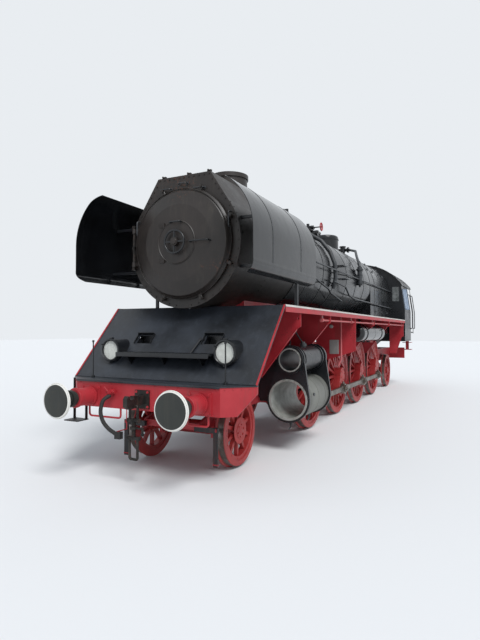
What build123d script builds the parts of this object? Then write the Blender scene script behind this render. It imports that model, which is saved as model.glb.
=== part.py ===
from build123d import *
from math import atan2, cos, degrees, radians, sin, sqrt
import os

# Three-cylinder 2-8-2 tender locomotive, engine only, stored out of use with its pistons,
# crossheads and main rods taken off. Millimetres. The front faces -Y, +Z is up, and the
# origin lies on the centre line, midway along the engine, at the lowest point of the flanges.
# Stations run back from the buffer faces, and heights are taken above the rail.

# General
RAIL = 28.0                 # flange depth, so the height of the rail above the origin
HALF_WIDTH = 1500.0         # running boards and cab
BOARD_Z = 2300.0            # top of the running boards
BOILER_Z = 3220.0           # boiler centre line
PLATE = 12.0                # plate of the decks, boards and apron
SEAT = 0.3                  # gap left where one piece rests in another

# Wheels, from the front to the back
LEAD_S = 1850.0
LEAD_TO_COUPLED = 3170.0
COUPLED_PITCH = 2000.0
COUPLED_TO_TRAIL = 2430.0
REAR_OVERHANG = 1750.0
LEAD_R = 500.0
COUPLED_R = 875.0
TRAIL_R = 550.0
WHEEL_IN = 680.0            # inner face of the tyres, from the centre line
TYRE_W = 140.0
RIM_DEPTH = 135.0           # tyre and wheel rim together
RIM_H = 60.0
WEB_T = 52.0
AXLE_R = 100.0
AXLE_FIT = 0.5              # radial play of the axles in their boxes
HUB_R = 190.0
HUB_OUT = 930.0             # outer face of the crank bosses
CRANK_R = 330.0
CRANK_BOSS_R = 165.0
LEFT_CRANK = 30.0           # degrees from straight down towards the front
RIGHT_CRANK = -90.0
PIN_R = 62.0
PIN_FIT = 0.5               # radial play of the rods on their pins
PIN_CAP = 24.0
ROD_GAP = 15.0
ROD_T = 90.0
ROD_H = 105.0
ROD_BAR_T = 46.0
ROD_BOSS_R = 118.0
CRANK_WEB_T = 110.0
CRANK_WEB_GAP = 130.0

# Frame
FRAME_IN = 500.0
FRAME_T = 100.0
FRAME_LOW = 740.0
FRAME_TOP = 1420.0
FRAME_END_LOW = 900.0
FRAME_END_TOP = 1300.0
BOX_HALF = 150.0
BOX_FIT = 2.0
SPRING_TOP = 560.0
LEAF_T = 14.0
DRAW_R = 45.0
DRAW_INSET = 330.0
BEAM_S = 650.0              # front face of the buffer beam
BEAM_HALF = 1150.0
BEAM_LOW = 895.0
BEAM_TOP = 1250.0
BEAM_T = 40.0
DECK_S = 960.0              # where the front deck meets the apron
APRON_TOP_S = 1900.0

# Buffers
BUFFER_X = 875.0
BUFFER_Z = 1045.0
BUFFER_R = 230.0
PLUNGER_R = 90.0
CASE_R = 118.0
CASE_S = 330.0              # front of the cases

# Boiler
SMOKEBOX_S = 1600.0
SMOKEBOX_LENGTH = 2350.0
SMOKEBOX_R = 950.0
SHELL = 15.0
DOOR_R = 830.0
DOOR_DEPTH = 200.0
HANDWHEEL_R = 165.0
BARREL_R = 930.0
BARREL_LENGTH = 2450.0
CONE_LENGTH = 800.0
REAR_RING_LENGTH = 2700.0
FIREBOX_R = 985.0
FIREBOX_LENGTH = 3400.0
FIREBOX_LOW = 1850.0
HEATER_TOP = 4250.0
HEATER_HALF = 460.0
HEATER_SHOULDER = 3800.0
HEATER_LENGTH = 1080.0
CHIMNEY_S = 3050.0
CHIMNEY_R = 330.0
CHIMNEY_WALL = 50.0
CHIMNEY_H = 460.0           # above the smokebox
DOME_S = 8700.0
DOME_R = 360.0
DOME_H = 350.0              # above the rear ring

# Cylinders
CYL_X = 1150.0
CYL_Z = 830.0
CYL_S = 2880.0
CYL_LENGTH = 1180.0
BORE_R = 300.0
BARREL_WALL = 32.0
FLANGE_R = 365.0
FLANGE_T = 46.0
VALVE_X = 1200.0
VALVE_Z = 1470.0
VALVE_R = 205.0
VALVE_BORE = 170.0
VALVE_REACH = 60.0          # how far the valve chest stands out behind the cylinder

# Cab
CAB_LEAD = 500.0            # cab front ahead of the trailing axle
CAB_LENGTH = 2100.0
CAB_LOW = 1580.0
WAIST_Z = 2620.0
EAVE_X = 1370.0
EAVE_Z = 3540.0
ROOF_Z = 4230.0
ROOF_OVER = 60.0
ROOF_T = 26.0
WALL = 8.0
FLOOR_Z = 1900.0
DOORWAY_W = 580.0
POST_W = 120.0
WINDOW_LOW = 2720.0
WINDOW_TOP = 3340.0
WINDOW_W = 540.0
GLASS = 6.0

FIRST_S = LEAD_S + LEAD_TO_COUPLED
COUPLED_S = [FIRST_S + COUPLED_PITCH * i for i in range(4)]
TRAIL_S = COUPLED_S[3] + COUPLED_TO_TRAIL
LENGTH = TRAIL_S + REAR_OVERHANG
SMOKEBOX_END = SMOKEBOX_S + SMOKEBOX_LENGTH
CONE_S = SMOKEBOX_END + BARREL_LENGTH
CONE_END = CONE_S + CONE_LENGTH
FIREBOX_S = CONE_END + REAR_RING_LENGTH
BACKHEAD_S = FIREBOX_S + FIREBOX_LENGTH
CYL_END = CYL_S + CYL_LENGTH
CAB_S = TRAIL_S - CAB_LEAD
CAB_END = CAB_S + CAB_LENGTH
FRAME_OUT = FRAME_IN + FRAME_T
TYRE_OUT = WHEEL_IN + TYRE_W
ROD_IN = HUB_OUT + ROD_GAP
PIN_OUT = ROD_IN + ROD_T + 10
Y0 = -LENGTH / 2
os.makedirs("parts", exist_ok=True)
parts = {}


# Shapes placed by station and height
def box(x0, x1, s0, s1, z0, z1):
    middle = ((x0 + x1) / 2, (s0 + s1) / 2 + Y0, (z0 + z1) / 2 + RAIL)
    return Pos(*middle) * Box(abs(x1 - x0), abs(s1 - s0), abs(z1 - z0))


def rod_x(x0, x1, s, z, r):
    return Pos((x0 + x1) / 2, s + Y0, z + RAIL) * Rot(0, 90, 0) * Cylinder(r, abs(x1 - x0))


def rod_y(s0, s1, x, z, r):
    return Pos(x, (s0 + s1) / 2 + Y0, z + RAIL) * Rot(90, 0, 0) * Cylinder(r, abs(s1 - s0))


def rod_z(z0, z1, x, s, r):
    return Pos(x, s + Y0, (z0 + z1) / 2 + RAIL) * Cylinder(r, abs(z1 - z0))


def side_plate(points, x0, x1):
    # Outline in station and height, from x0 to x1
    outline = Polyline([(x0, s + Y0, z + RAIL) for s, z in points], close=True)
    return extrude(make_face(outline), amount=abs(x1 - x0), dir=(1 if x1 > x0 else -1, 0, 0))


def cross_plate(points, s0, s1):
    # Outline in x and height, from station s0 to s1
    outline = Polyline([(x, s0 + Y0, z + RAIL) for x, z in points], close=True)
    return extrude(make_face(outline), amount=s1 - s0, dir=(0, 1, 0))


def level_plate(points, z0, z1):
    # Outline in x and station, from z0 to z1
    outline = Polyline([(x, s + Y0, z0 + RAIL) for x, s in points], close=True)
    return extrude(make_face(outline), amount=z1 - z0, dir=(0, 0, 1))


def cones(points):
    # A stack of round slices about the boiler's centre line, from stations and radii
    stack = None
    for (s0, r0), (s1, r1) in zip(points, points[1:]):
        piece = Pos(0, (s0 + s1) / 2 + Y0, BOILER_Z + RAIL) * Rot(-90, 0, 0) * Cone(r0, r1, s1 - s0)
        stack = piece if stack is None else stack + piece
    return stack


def pipe(points, r, bend):
    # A round pipe through points of x, station and height
    places = [(x, s + Y0, z + RAIL) for x, s, z in points]
    path = FilletPolyline(*places, radius=bend) if len(places) > 2 else Polyline(*places)
    return sweep(Plane(path @ 0, z_dir=path % 0) * Circle(r), path=path)


def mirrored(shape):
    return mirror(shape, about=Plane.YZ)


def pair(shape):
    return [shape, mirrored(shape)]


def keep(name, *shapes):
    solids = []
    for shape in shapes:
        for item in shape if isinstance(shape, list) else [shape]:
            solids += list(item.solids())
    parts[name] = Compound(children=solids)


# Wheels: each is drawn at the origin with its crank straight down, then turned and placed
def wheel_rim(tread):
    # The tyre with its flange, and the wheel rim inside it, set back from both faces
    step = 12.0
    tyre_h = RIM_DEPTH - RIM_H
    x0, x1 = WHEEL_IN, TYRE_OUT
    section = [
        (x0, tread - tyre_h), (x0, tread + RAIL - 8), (x0 + 8, tread + RAIL),
        (x0 + 22, tread + RAIL), (x0 + 36, tread), (x1 - 8, tread), (x1, tread - 8),
        (x1, tread - tyre_h), (x1 - step, tread - tyre_h), (x1 - step, tread - RIM_DEPTH),
        (x0 + step, tread - RIM_DEPTH), (x0 + step, tread - tyre_h),
    ]
    face = make_face(Polyline([(x, 0, r) for x, r in section], close=True))
    return revolve(face, axis=Axis.X)


def wheel(tread, spokes, hub_r, hub_out, crank=False):
    web_in = WHEEL_IN + (TYRE_W - WEB_T) / 2
    rim_r = tread - RIM_DEPTH
    blade = Polyline([(0, -32), (0, 32), (rim_r + 10, 22), (rim_r + 10, -22)], close=True)
    star = Sketch() + [
        Rot(0, 0, 90 + 360 / spokes * (i + 0.5)) * make_face(blade) for i in range(spokes)
    ]
    star += Circle(hub_r)
    layers = [extrude(star, amount=WEB_T)]
    if crank:
        arm = Pos(-CRANK_R / 2, 0) * Rectangle(CRANK_R, 2 * CRANK_BOSS_R)
        arm = arm + Pos(-CRANK_R, 0) * Circle(CRANK_BOSS_R)
        layers.append(Pos(0, 0, -15) * extrude(arm, amount=hub_out - web_in + 15))
        balance = Circle(rim_r + 5) - Pos(-rim_r * 0.52, 0) * Rectangle(2.2 * rim_r, 3 * rim_r)
        layers.append(Pos(0, 0, -10) * extrude(balance, amount=WEB_T + 28))
    # The web's drawing plane stands across the axle, with the drawing's -x pointing down
    web = Plane(origin=(web_in, 0, 0), x_dir=(0, 0, 1), z_dir=(1, 0, 0))
    body = wheel_rim(tread)
    for layer in layers:
        body = body + web.location * layer
    hub_in = WHEEL_IN - 20
    hub = Pos((hub_in + hub_out) / 2, 0, 0) * Rot(0, 90, 0) * Cylinder(hub_r, hub_out - hub_in)
    bore = Pos(WHEEL_IN, 0, 0) * Rot(0, 90, 0) * Cylinder(AXLE_R, 2 * hub_out)
    return body + hub - bore


def placed(shape, s, z, turn=0.0):
    # turn is in degrees from straight down towards the front
    return Pos(0, s + Y0, z + RAIL) * Rot(-turn, 0, 0) * shape


def crank_offset(turn):
    return -CRANK_R * sin(radians(turn)), -CRANK_R * cos(radians(turn))


SMALL_OUT = TYRE_OUT + 10
# node, station, radius, spokes, hub radius
carrying = [
    ("leading", LEAD_S, LEAD_R, 10, 120.0),
    ("trailing", TRAIL_S, TRAIL_R, 11, 125.0),
]
for name, s, r, spokes, hub_r in carrying:
    keep(f"{name}_wheels", pair(placed(wheel(r, spokes, hub_r, SMALL_OUT), s, r)), rod_x(-SMALL_OUT, SMALL_OUT, s, r, AXLE_R))

driver = wheel(COUPLED_R, 17, HUB_R, HUB_OUT, crank=True)
for number, s in enumerate(COUPLED_S, 1):
    left = placed(driver, s, COUPLED_R, LEFT_CRANK)
    right = mirrored(placed(driver, s, COUPLED_R, RIGHT_CRANK))
    keep(f"coupled_wheels_{number}", left, right)
    axle = rod_x(-HUB_OUT, HUB_OUT, s, COUPLED_R, AXLE_R)
    if number == 2:
        # The inside crank, a third of a turn from both outer ones
        turn = LEFT_CRANK + 120
        half_gap = CRANK_WEB_GAP / 2
        ds, dz = crank_offset(turn)
        axle = axle - rod_x(-half_gap, half_gap, s, COUPLED_R, AXLE_R + 5)
        for x0 in (-half_gap - CRANK_WEB_T, half_gap):
            for cs, cz in ((0, 0), (ds, dz)):
                axle = axle + rod_x(x0, x0 + CRANK_WEB_T, s + cs, COUPLED_R + cz, AXLE_R + 45)
            arm = Pos(x0 + CRANK_WEB_T / 2, 0, -CRANK_R / 2) * Box(CRANK_WEB_T, 2 * AXLE_R + 60, CRANK_R)
            axle = axle + placed(arm, s, COUPLED_R, turn)
        axle = axle + rod_x(-half_gap, half_gap, s + ds, COUPLED_R + dz, AXLE_R)
    pins = []
    for side, turn in ((1, LEFT_CRANK), (-1, RIGHT_CRANK)):
        ds, dz = crank_offset(turn)
        shank = rod_x(side * HUB_OUT, side * PIN_OUT, s + ds, COUPLED_R + dz, PIN_R)
        cap = rod_x(side * PIN_OUT, side * (PIN_OUT + PIN_CAP), s + ds, COUPLED_R + dz, PIN_R + 24)
        pins.append(shank + cap)
    keep(f"coupled_axle_{number}", axle, pins)


def coupling_rod(turn):
    # A bar between the end pins, with a boss at each pin and a knuckle behind the middle ones
    knuckle_gap, knuckle_r, neck, neck_h = 240.0, 80.0, 210.0, 70.0
    ds, dz = crank_offset(turn)
    z = COUPLED_R + dz
    middle = ROD_IN + ROD_T / 2
    s0, s1 = COUPLED_S[0] + ds, COUPLED_S[-1] + ds
    bar = box(middle - ROD_BAR_T / 2, middle + ROD_BAR_T / 2, s0, s1, z - ROD_H / 2, z + ROD_H / 2)
    for s in COUPLED_S:
        bar = bar + rod_x(ROD_IN, ROD_IN + ROD_T, s + ds, z, ROD_BOSS_R)
        bar = bar + box(ROD_IN + 15, ROD_IN + ROD_T - 15, s + ds - neck, s + ds + neck, z - neck_h, z + neck_h)
    for s in COUPLED_S[1:3]:
        bar = bar + rod_x(ROD_IN, ROD_IN + ROD_T, s + ds + knuckle_gap, z, knuckle_r)
    for s in COUPLED_S:
        bar = bar - rod_x(ROD_IN - 5, ROD_IN + ROD_T + 5, s + ds, z, PIN_R + PIN_FIT)
    reach = ROD_BOSS_R + 1
    return bar & box(ROD_IN - 1, ROD_IN + ROD_T + 1, s0 - reach, s1 + reach, z - reach, z + reach)


keep("coupling_rod_left", coupling_rod(LEFT_CRANK))
keep("coupling_rod_right", mirrored(coupling_rod(RIGHT_CRANK)))

# Frame: a bar plate each side, with slots for the axle boxes and windows between the axles
bar_line = [
    (BEAM_S + BEAM_T, FRAME_END_LOW), (LEAD_S - 500, FRAME_END_LOW), (LEAD_S + 700, FRAME_LOW),
    (TRAIL_S - 900, FRAME_LOW), (TRAIL_S - 600, FRAME_END_LOW), (LENGTH - 60, FRAME_END_LOW),
    (LENGTH - 60, FRAME_END_TOP), (TRAIL_S - 700, FRAME_END_TOP), (TRAIL_S - 1100, FRAME_TOP),
    (CYL_S - 900, FRAME_TOP), (BEAM_S + 300, BEAM_TOP - 60), (BEAM_S + BEAM_T, BEAM_TOP - 60),
]
bar_frame = side_plate(bar_line, FRAME_IN, FRAME_OUT)
slot_top = COUPLED_R + 170
for s in COUPLED_S:
    bar_frame = bar_frame - box(FRAME_IN - 5, FRAME_OUT + 5, s - BOX_HALF, s + BOX_HALF, FRAME_LOW - 100, slot_top)
for s in COUPLED_S[:3]:
    window = box(FRAME_IN - 5, FRAME_OUT + 5, s + 380, s + COUPLED_PITCH - 380, FRAME_LOW + 220, FRAME_TOP - 170)
    bar_frame = bar_frame - window
front_window = box(FRAME_IN - 5, FRAME_OUT + 5, LEAD_S + 700, CYL_S - 150, FRAME_LOW + 260, FRAME_TOP - 220)
keep("frame_plates", pair(bar_frame - front_window))

# Cross stays from plate to plate: station, thickness, low edge, top edge
stay_table = [
    (BEAM_S + 200, 40, FRAME_END_LOW, BEAM_TOP - 70),
    (CYL_END + 290, 40, FRAME_LOW + 20, FRAME_TOP - 20),
    (COUPLED_S[1] - 1000, 40, FRAME_LOW + 20, FRAME_TOP - 20),
    (COUPLED_S[2] - 1000, 40, FRAME_LOW + 20, FRAME_TOP - 20),
    (COUPLED_S[3] - 1000, 40, FRAME_LOW + 20, FRAME_TOP - 20),
    (TRAIL_S - 1200, 40, FRAME_LOW + 20, FRAME_TOP - 20),
    (TRAIL_S + 900, 40, FRAME_END_LOW, FRAME_END_TOP),
    (LEAD_S - 160, 320, FRAME_END_LOW, FRAME_END_LOW + 60),
    (TRAIL_S - 160, 320, FRAME_END_LOW + 5, FRAME_END_LOW + 60),
]
stays = [box(-FRAME_IN, FRAME_IN, s, s + t, z0, z1) for s, t, z0, z1 in stay_table]
DRAW_S = LENGTH - DRAW_INSET
drag = box(-BEAM_HALF, BEAM_HALF, LENGTH - 60, LENGTH, FRAME_END_LOW, FRAME_END_TOP)
pocket_low, pocket_top, slot_low, slot_high = 960.0, 1120.0, 1000.0, 1080.0
drag = drag + box(-FRAME_IN, FRAME_IN, LENGTH - 560, LENGTH - 55, pocket_low, pocket_top)
drag = drag - box(-160, 160, DRAW_S - 150, LENGTH + 5, slot_low, slot_high)
drag = drag - rod_z(pocket_low - 20, pocket_top + 20, 0, DRAW_S, DRAW_R)
keep("frame_stays", stays, drag)

# Axle boxes of the coupled axles
boxes = []
for s in COUPLED_S:
    block = box(FRAME_IN - 20, FRAME_OUT + 20, s - BOX_HALF + BOX_FIT, s + BOX_HALF - BOX_FIT,
                COUPLED_R - 150, COUPLED_R + 155)
    boxes += pair(block - rod_x(FRAME_IN - 30, FRAME_OUT + 30, s, COUPLED_R, AXLE_R + AXLE_FIT))
keep("axle_boxes", boxes)

# Leaf springs under the axle boxes, with links up to the frame plates
springs = []
for s in COUPLED_S:
    spring = box(FRAME_IN + 30, FRAME_OUT - 30, s - 40, s + 40, SPRING_TOP, COUPLED_R - 150)
    for n, half in enumerate((480, 400, 320, 240, 160)):
        top = SPRING_TOP - LEAF_T * n
        spring = spring + box(FRAME_IN + 5, FRAME_OUT - 5, s - half, s + half, top - LEAF_T, top)
    for end in (-440, 440):
        spring = spring + box(FRAME_IN + 30, FRAME_OUT - 30, s + end - 25, s + end + 25, SPRING_TOP, FRAME_LOW)
    springs += pair(spring)
keep("leaf_springs", springs)


# Trucks of the leading and trailing axles: a cheek each side, cross bars and a pivot below the frame
def truck(s, z, top, reach):
    inner, outer = 430.0, 470.0
    cheek = side_plate(
        [(s - reach, z + 40), (s - 180, z + 60), (s - 180, z - 110), (s + 180, z - 110),
         (s + 180, z + 60), (s + reach, z + 40), (s + reach, z + 160), (s + 220, z + 260),
         (s - 220, z + 260), (s - reach, z + 160)], inner, outer)
    cheek = cheek - rod_x(inner - 5, outer + 5, s, z, AXLE_R + AXLE_FIT)
    frame = cheek + mirrored(cheek)
    for c in (60 - reach, reach - 60):
        frame = frame + box(-inner - 1, inner + 1, s + c - 40, s + c + 40, z + 60, z + 150)
    frame = frame + box(-inner - 1, inner + 1, s - 120, s + 120, z + 200, z + 250)
    return frame + rod_z(z + 200, top, 0, s, 130)


# Rail guards hang from the front cross bar, ahead of the leading wheels
GUARD_LOW = 110.0
guard_s = LEAD_S - LEAD_R - RAIL - 90
guard = box(420, TYRE_OUT - 30, guard_s, guard_s + 40, LEAD_R + 60, LEAD_R + 130)
guard = guard + box(420, 470, guard_s, LEAD_S - 500, LEAD_R + 60, LEAD_R + 130)
guard = guard + box(WHEEL_IN + 40, TYRE_OUT - 30, guard_s, guard_s + 22, GUARD_LOW, LEAD_R + 130)
lead_truck = truck(LEAD_S, LEAD_R, FRAME_END_LOW, 560) + guard + mirrored(guard)
keep("leading_truck", lead_truck)
keep("trailing_truck", truck(TRAIL_S, TRAIL_R, FRAME_END_LOW + 5, 560))

# Brake gear: a hanger and block ahead of each coupled wheel, cross beams and pull rods
BLOCK_GAP = 6.0
BLOCK_T = 52.0
BLOCK_X0, BLOCK_X1 = WHEEL_IN + 44, WHEEL_IN + 98
BEAM_DROP = 600.0
brake = None
for s in COUPLED_S:
    r0 = COUPLED_R + BLOCK_GAP
    sector = [(s + BLOCK_GAP, COUPLED_R)] + [(s - 1300, COUPLED_R - 1300 * t) for t in (-0.02, 0.42)]
    shoe = rod_x(BLOCK_X0, BLOCK_X1, s, COUPLED_R, r0 + BLOCK_T) - rod_x(BLOCK_X0 - 5, BLOCK_X1 + 5, s, COUPLED_R, r0)
    shoe = shoe & side_plate(sector, BLOCK_X0 - 2, BLOCK_X1 + 2)
    hang_s = s - r0 - BLOCK_T
    hanger = box(BLOCK_X0 + 12, BLOCK_X1 - 12, hang_s - 18, hang_s + 24, BEAM_DROP - 30, FRAME_TOP - 60)
    pivot = rod_x(FRAME_OUT, BLOCK_X1, hang_s, FRAME_TOP - 80, 28)
    one_side = shoe + hanger + pivot
    beam = rod_x(-BLOCK_X1, BLOCK_X1, hang_s, BEAM_DROP, 30)
    gear = one_side + mirrored(one_side) + beam
    brake = gear if brake is None else brake + gear
pull_s0 = COUPLED_S[0] - COUPLED_R - BLOCK_GAP - BLOCK_T
for x in (-300, 300):
    brake = brake + rod_y(pull_s0, pull_s0 + 3 * COUPLED_PITCH, x, BEAM_DROP, 20)
keep("brake_gear", brake)

# Buffer beam with swept ends, cut away below
beam = box(-BEAM_HALF, BEAM_HALF, BEAM_S, BEAM_S + BEAM_T, BEAM_LOW, BEAM_TOP)
sweep_plan = [(BEAM_HALF - 6, BEAM_S), (HALF_WIDTH, DECK_S), (HALF_WIDTH, DECK_S + 26), (BEAM_HALF - 6, BEAM_S + 26)]
wing = level_plate(sweep_plan, BEAM_LOW, BEAM_TOP)
wing = wing - cross_plate([(BEAM_HALF + 110, BEAM_LOW - 60), (HALF_WIDTH + 60, BEAM_LOW - 60),
                           (HALF_WIDTH + 60, BEAM_TOP - 10)], BEAM_S - 50, DECK_S + 200)
beam = beam + wing + mirrored(wing)
keep("buffer_beam", beam - box(-55, 55, BEAM_S - 5, BEAM_S + BEAM_T + 5, BUFFER_Z - 75, BUFFER_Z + 75))

# Buffers: a flanged case on the beam, and a plunger with its round head
case = box(BUFFER_X - 165, BUFFER_X + 165, BEAM_S - 22, BEAM_S, BUFFER_Z - 140, BUFFER_Z + 140)
case = case + rod_y(CASE_S, BEAM_S - 20, BUFFER_X, BUFFER_Z, CASE_R)
case = case + rod_y(CASE_S, CASE_S + 40, BUFFER_X, BUFFER_Z, CASE_R + 10)
case = case - rod_y(CASE_S - 10, BEAM_S - 60, BUFFER_X, BUFFER_Z, PLUNGER_R + SEAT)
keep("buffer_cases", pair(case))
crown_line = [(0, 0), (0, BUFFER_R - 120), (6, BUFFER_R - 50), (22, BUFFER_R - 6), (40, BUFFER_R),
              (46, BUFFER_R - 12), (52, PLUNGER_R + 30), (70, 0)]
crown = revolve(Plane.YZ * make_face(Polyline(crown_line, close=True)), axis=Axis.Y)
head = Pos(BUFFER_X, Y0, BUFFER_Z + RAIL) * crown
head = head + rod_y(40, BEAM_S - 70, BUFFER_X, BUFFER_Z, PLUNGER_R)
keep("buffer_heads", pair(head + rod_y(CASE_S - 110, CASE_S - 60, BUFFER_X, BUFFER_Z, PLUNGER_R + 22)))

# Draw hook through the beam, with its screw coupling hanging from it
SHACKLE_S = 470.0
SHACKLE_R = 17.0
shackle_z = BUFFER_Z - 60
hook = side_plate([(300, BUFFER_Z + 40), (330, BUFFER_Z + 75), (BEAM_S - 120, BUFFER_Z + 60),
                   (BEAM_S - 120, BUFFER_Z - 60), (SHACKLE_S, BUFFER_Z - 85), (360, BUFFER_Z - 95),
                   (300, BUFFER_Z - 60)], -32, 32)
hook = hook - rod_x(-40, 40, 395, BUFFER_Z + 62, 42) - rod_x(-40, 40, SHACKLE_S, shackle_z, SHACKLE_R + SEAT)
hook = hook + box(-50, 50, BEAM_S - 125, BEAM_S + 190, BUFFER_Z - 55, BUFFER_Z + 55)
hook = hook + box(-115, 115, BEAM_S - 18, BEAM_S, BUFFER_Z - 120, BUFFER_Z + 120)


def link(half, s, z_bow, z_pin, r):
    points = [(-half, s, z_pin), (-half, s, z_bow), (half, s, z_bow), (half, s, z_pin)]
    return pipe(points, r, half * 0.4) + rod_x(-half - 20, half + 20, s, z_pin, r + 8)


shackle = link(62, SHACKLE_S, shackle_z, 800, SHACKLE_R)
screw = rod_z(565, 830, 0, SHACKLE_S, 26) + rod_z(690, 720, 0, SHACKLE_S, 48)
lever = rod_x(-10, 150, SHACKLE_S, 705, 13) + rod_z(640, 712, 140, SHACKLE_S, 16)
keep("draw_gear", hook, shackle + screw + lever + link(62, SHACKLE_S, 310, 575, SHACKLE_R))

# Brake hoses from cocks on the beam to their coupling heads
HOSE_R = 26.0
hose_line = [(-490, 585, 1075), (-540, 500, 1020), (-550, 460, 870), (-500, 460, 740), (-400, 460, 655), (-270, 460, 600)]
hose = pipe(hose_line, HOSE_R, [115, 235, 225, 370])
hose = hose + box(-282, -188, 430, 490, 547, 637)
keep("brake_hose", hose)
cock = rod_y(560, BEAM_S, -490, BUFFER_Z + 75, 34) + rod_x(-560, -420, 600, BUFFER_Z + 75, 20)
cock = cock - hose
stay_wire = rod_z(640, BEAM_LOW + 60, -250, BEAM_S - 14, 7) + rod_y(452, BEAM_S - 8, -250, 640, 7)
hose_fittings = (cock + stay_wire) - hose

# Hand bars under the beam, and the two-step ladder at its right end
bar_z = BEAM_LOW - 130
steps = []
for x0, x1 in ((-930, -380), (680, 980)):
    bow = [(x0, BEAM_S + 20, BEAM_LOW), (x0, BEAM_S + 20, bar_z), (x1, BEAM_S + 20, bar_z), (x1, BEAM_S + 20, BEAM_LOW)]
    steps.append(pipe(bow, 13, 40))
STEP_X0, STEP_X1 = -1440.0, -1180.0
ladder_s = DECK_S - 160
ladder = None
for z in (bar_z - 120, BEAM_LOW - 30):
    tread_plate = box(STEP_X0, STEP_X1, ladder_s - 110, ladder_s + 110, z, z + 14)
    ladder = tread_plate if ladder is None else ladder + tread_plate
for x in (STEP_X0 + 8, STEP_X1 - 22):
    ladder = ladder + box(x, x + 14, ladder_s + 60, ladder_s + 100, bar_z - 120, BEAM_TOP)
steps.append(ladder - wing - mirrored(wing))
keep("beam_fittings", steps, hose_fittings)

# Front deck and sloping apron
deck_plan = [(-BEAM_HALF, BEAM_S - 10), (BEAM_HALF, BEAM_S - 10), (HALF_WIDTH, DECK_S - 10),
             (HALF_WIDTH, DECK_S + 40), (-HALF_WIDTH, DECK_S + 40), (-HALF_WIDTH, DECK_S - 10)]
deck_top = BEAM_TOP + PLATE
deck = level_plate(deck_plan, BEAM_TOP, deck_top)
apron_line = [(DECK_S, deck_top - 1), (APRON_TOP_S, BOARD_Z), (APRON_TOP_S + 16, BOARD_Z),
              (APRON_TOP_S + 16, BOARD_Z - 8), (DECK_S + 14, deck_top - 1)]
apron = side_plate(apron_line, -HALF_WIDTH, HALF_WIDTH)
# Two foot recesses in the upper slope
for x in (-590, 590):
    apron = apron - box(x - 120, x + 120, DECK_S + 440, DECK_S + 560, BEAM_TOP + 400, BOARD_Z)
under_boiler = rod_y(SMOKEBOX_S - 100, SMOKEBOX_END, 0, BOILER_Z, SMOKEBOX_R + 1)
keep("apron", deck + apron - under_boiler)
behind = side_plate([(DECK_S, deck_top - 1), (APRON_TOP_S, BOARD_Z), (APRON_TOP_S + 900, BOARD_Z),
                     (APRON_TOP_S + 900, BEAM_TOP)], -HALF_WIDTH, HALF_WIDTH)
slope = (BOARD_Z - deck_top) / (APRON_TOP_S - DECK_S)

# Running boards and their valances
BOARD_IN = 640.0
VALANCE_H = 85.0
board_s = APRON_TOP_S + 16
board = box(BOARD_IN, HALF_WIDTH, board_s, CAB_S, BOARD_Z - PLATE, BOARD_Z)
nose = box(-BOARD_IN, BOARD_IN, board_s, board_s + 260, BOARD_Z - PLATE, BOARD_Z)
fire_room = box(-FIREBOX_R - 40, FIREBOX_R + 40, FIREBOX_S - 60, CAB_S + 5, BOARD_Z - 100, BOARD_Z + 50)
keep("running_boards", board + nose + mirrored(board) - under_boiler - fire_room)
valance_low = BOARD_Z - PLATE - VALANCE_H
keep("board_valances", pair(box(HALF_WIDTH - PLATE, HALF_WIDTH, board_s, CAB_S, valance_low, BOARD_Z - PLATE)))

# Smokebox: an open shell with its front plate
FLUE_R = CHIMNEY_R - CHIMNEY_WALL
CHIMNEY_TOP = BOILER_Z + SMOKEBOX_R + CHIMNEY_H
smokebox_out = rod_y(SMOKEBOX_S, SMOKEBOX_END, 0, BOILER_Z, SMOKEBOX_R)
hollow = rod_y(SMOKEBOX_S + 25, SMOKEBOX_END - 25, 0, BOILER_Z, SMOKEBOX_R - SHELL)
mouth = rod_y(SMOKEBOX_S - 5, SMOKEBOX_S + 30, 0, BOILER_Z, DOOR_R - 70)
flue = rod_z(BOILER_Z + SMOKEBOX_R - 350, CHIMNEY_TOP + 10, 0, CHIMNEY_S, FLUE_R)
keep("smokebox", smokebox_out - hollow - mouth - flue)

# Preheater front and cover over the smokebox front
shoulder_x = sqrt(SMOKEBOX_R**2 - (HEATER_SHOULDER - BOILER_Z) ** 2)
heater_line = [(-shoulder_x, HEATER_SHOULDER), (-HEATER_HALF, HEATER_TOP), (HEATER_HALF, HEATER_TOP),
               (shoulder_x, HEATER_SHOULDER), (shoulder_x, BOILER_Z + 300), (-shoulder_x, BOILER_Z + 300)]
heater = cross_plate(heater_line, SMOKEBOX_S, SMOKEBOX_S + HEATER_LENGTH)
keep("feed_heater", heater - rod_y(SMOKEBOX_S - 5, CHIMNEY_S + HEATER_LENGTH, 0, BOILER_Z, SMOKEBOX_R))

# Chimney
chimney_rise = BOILER_Z + SMOKEBOX_R - 250
stack = rod_z(chimney_rise, CHIMNEY_TOP, 0, CHIMNEY_S, CHIMNEY_R - 20)
stack = stack + rod_z(CHIMNEY_TOP - 70, CHIMNEY_TOP, 0, CHIMNEY_S, CHIMNEY_R)
keep("chimney", stack - flue - smokebox_out)

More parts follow.
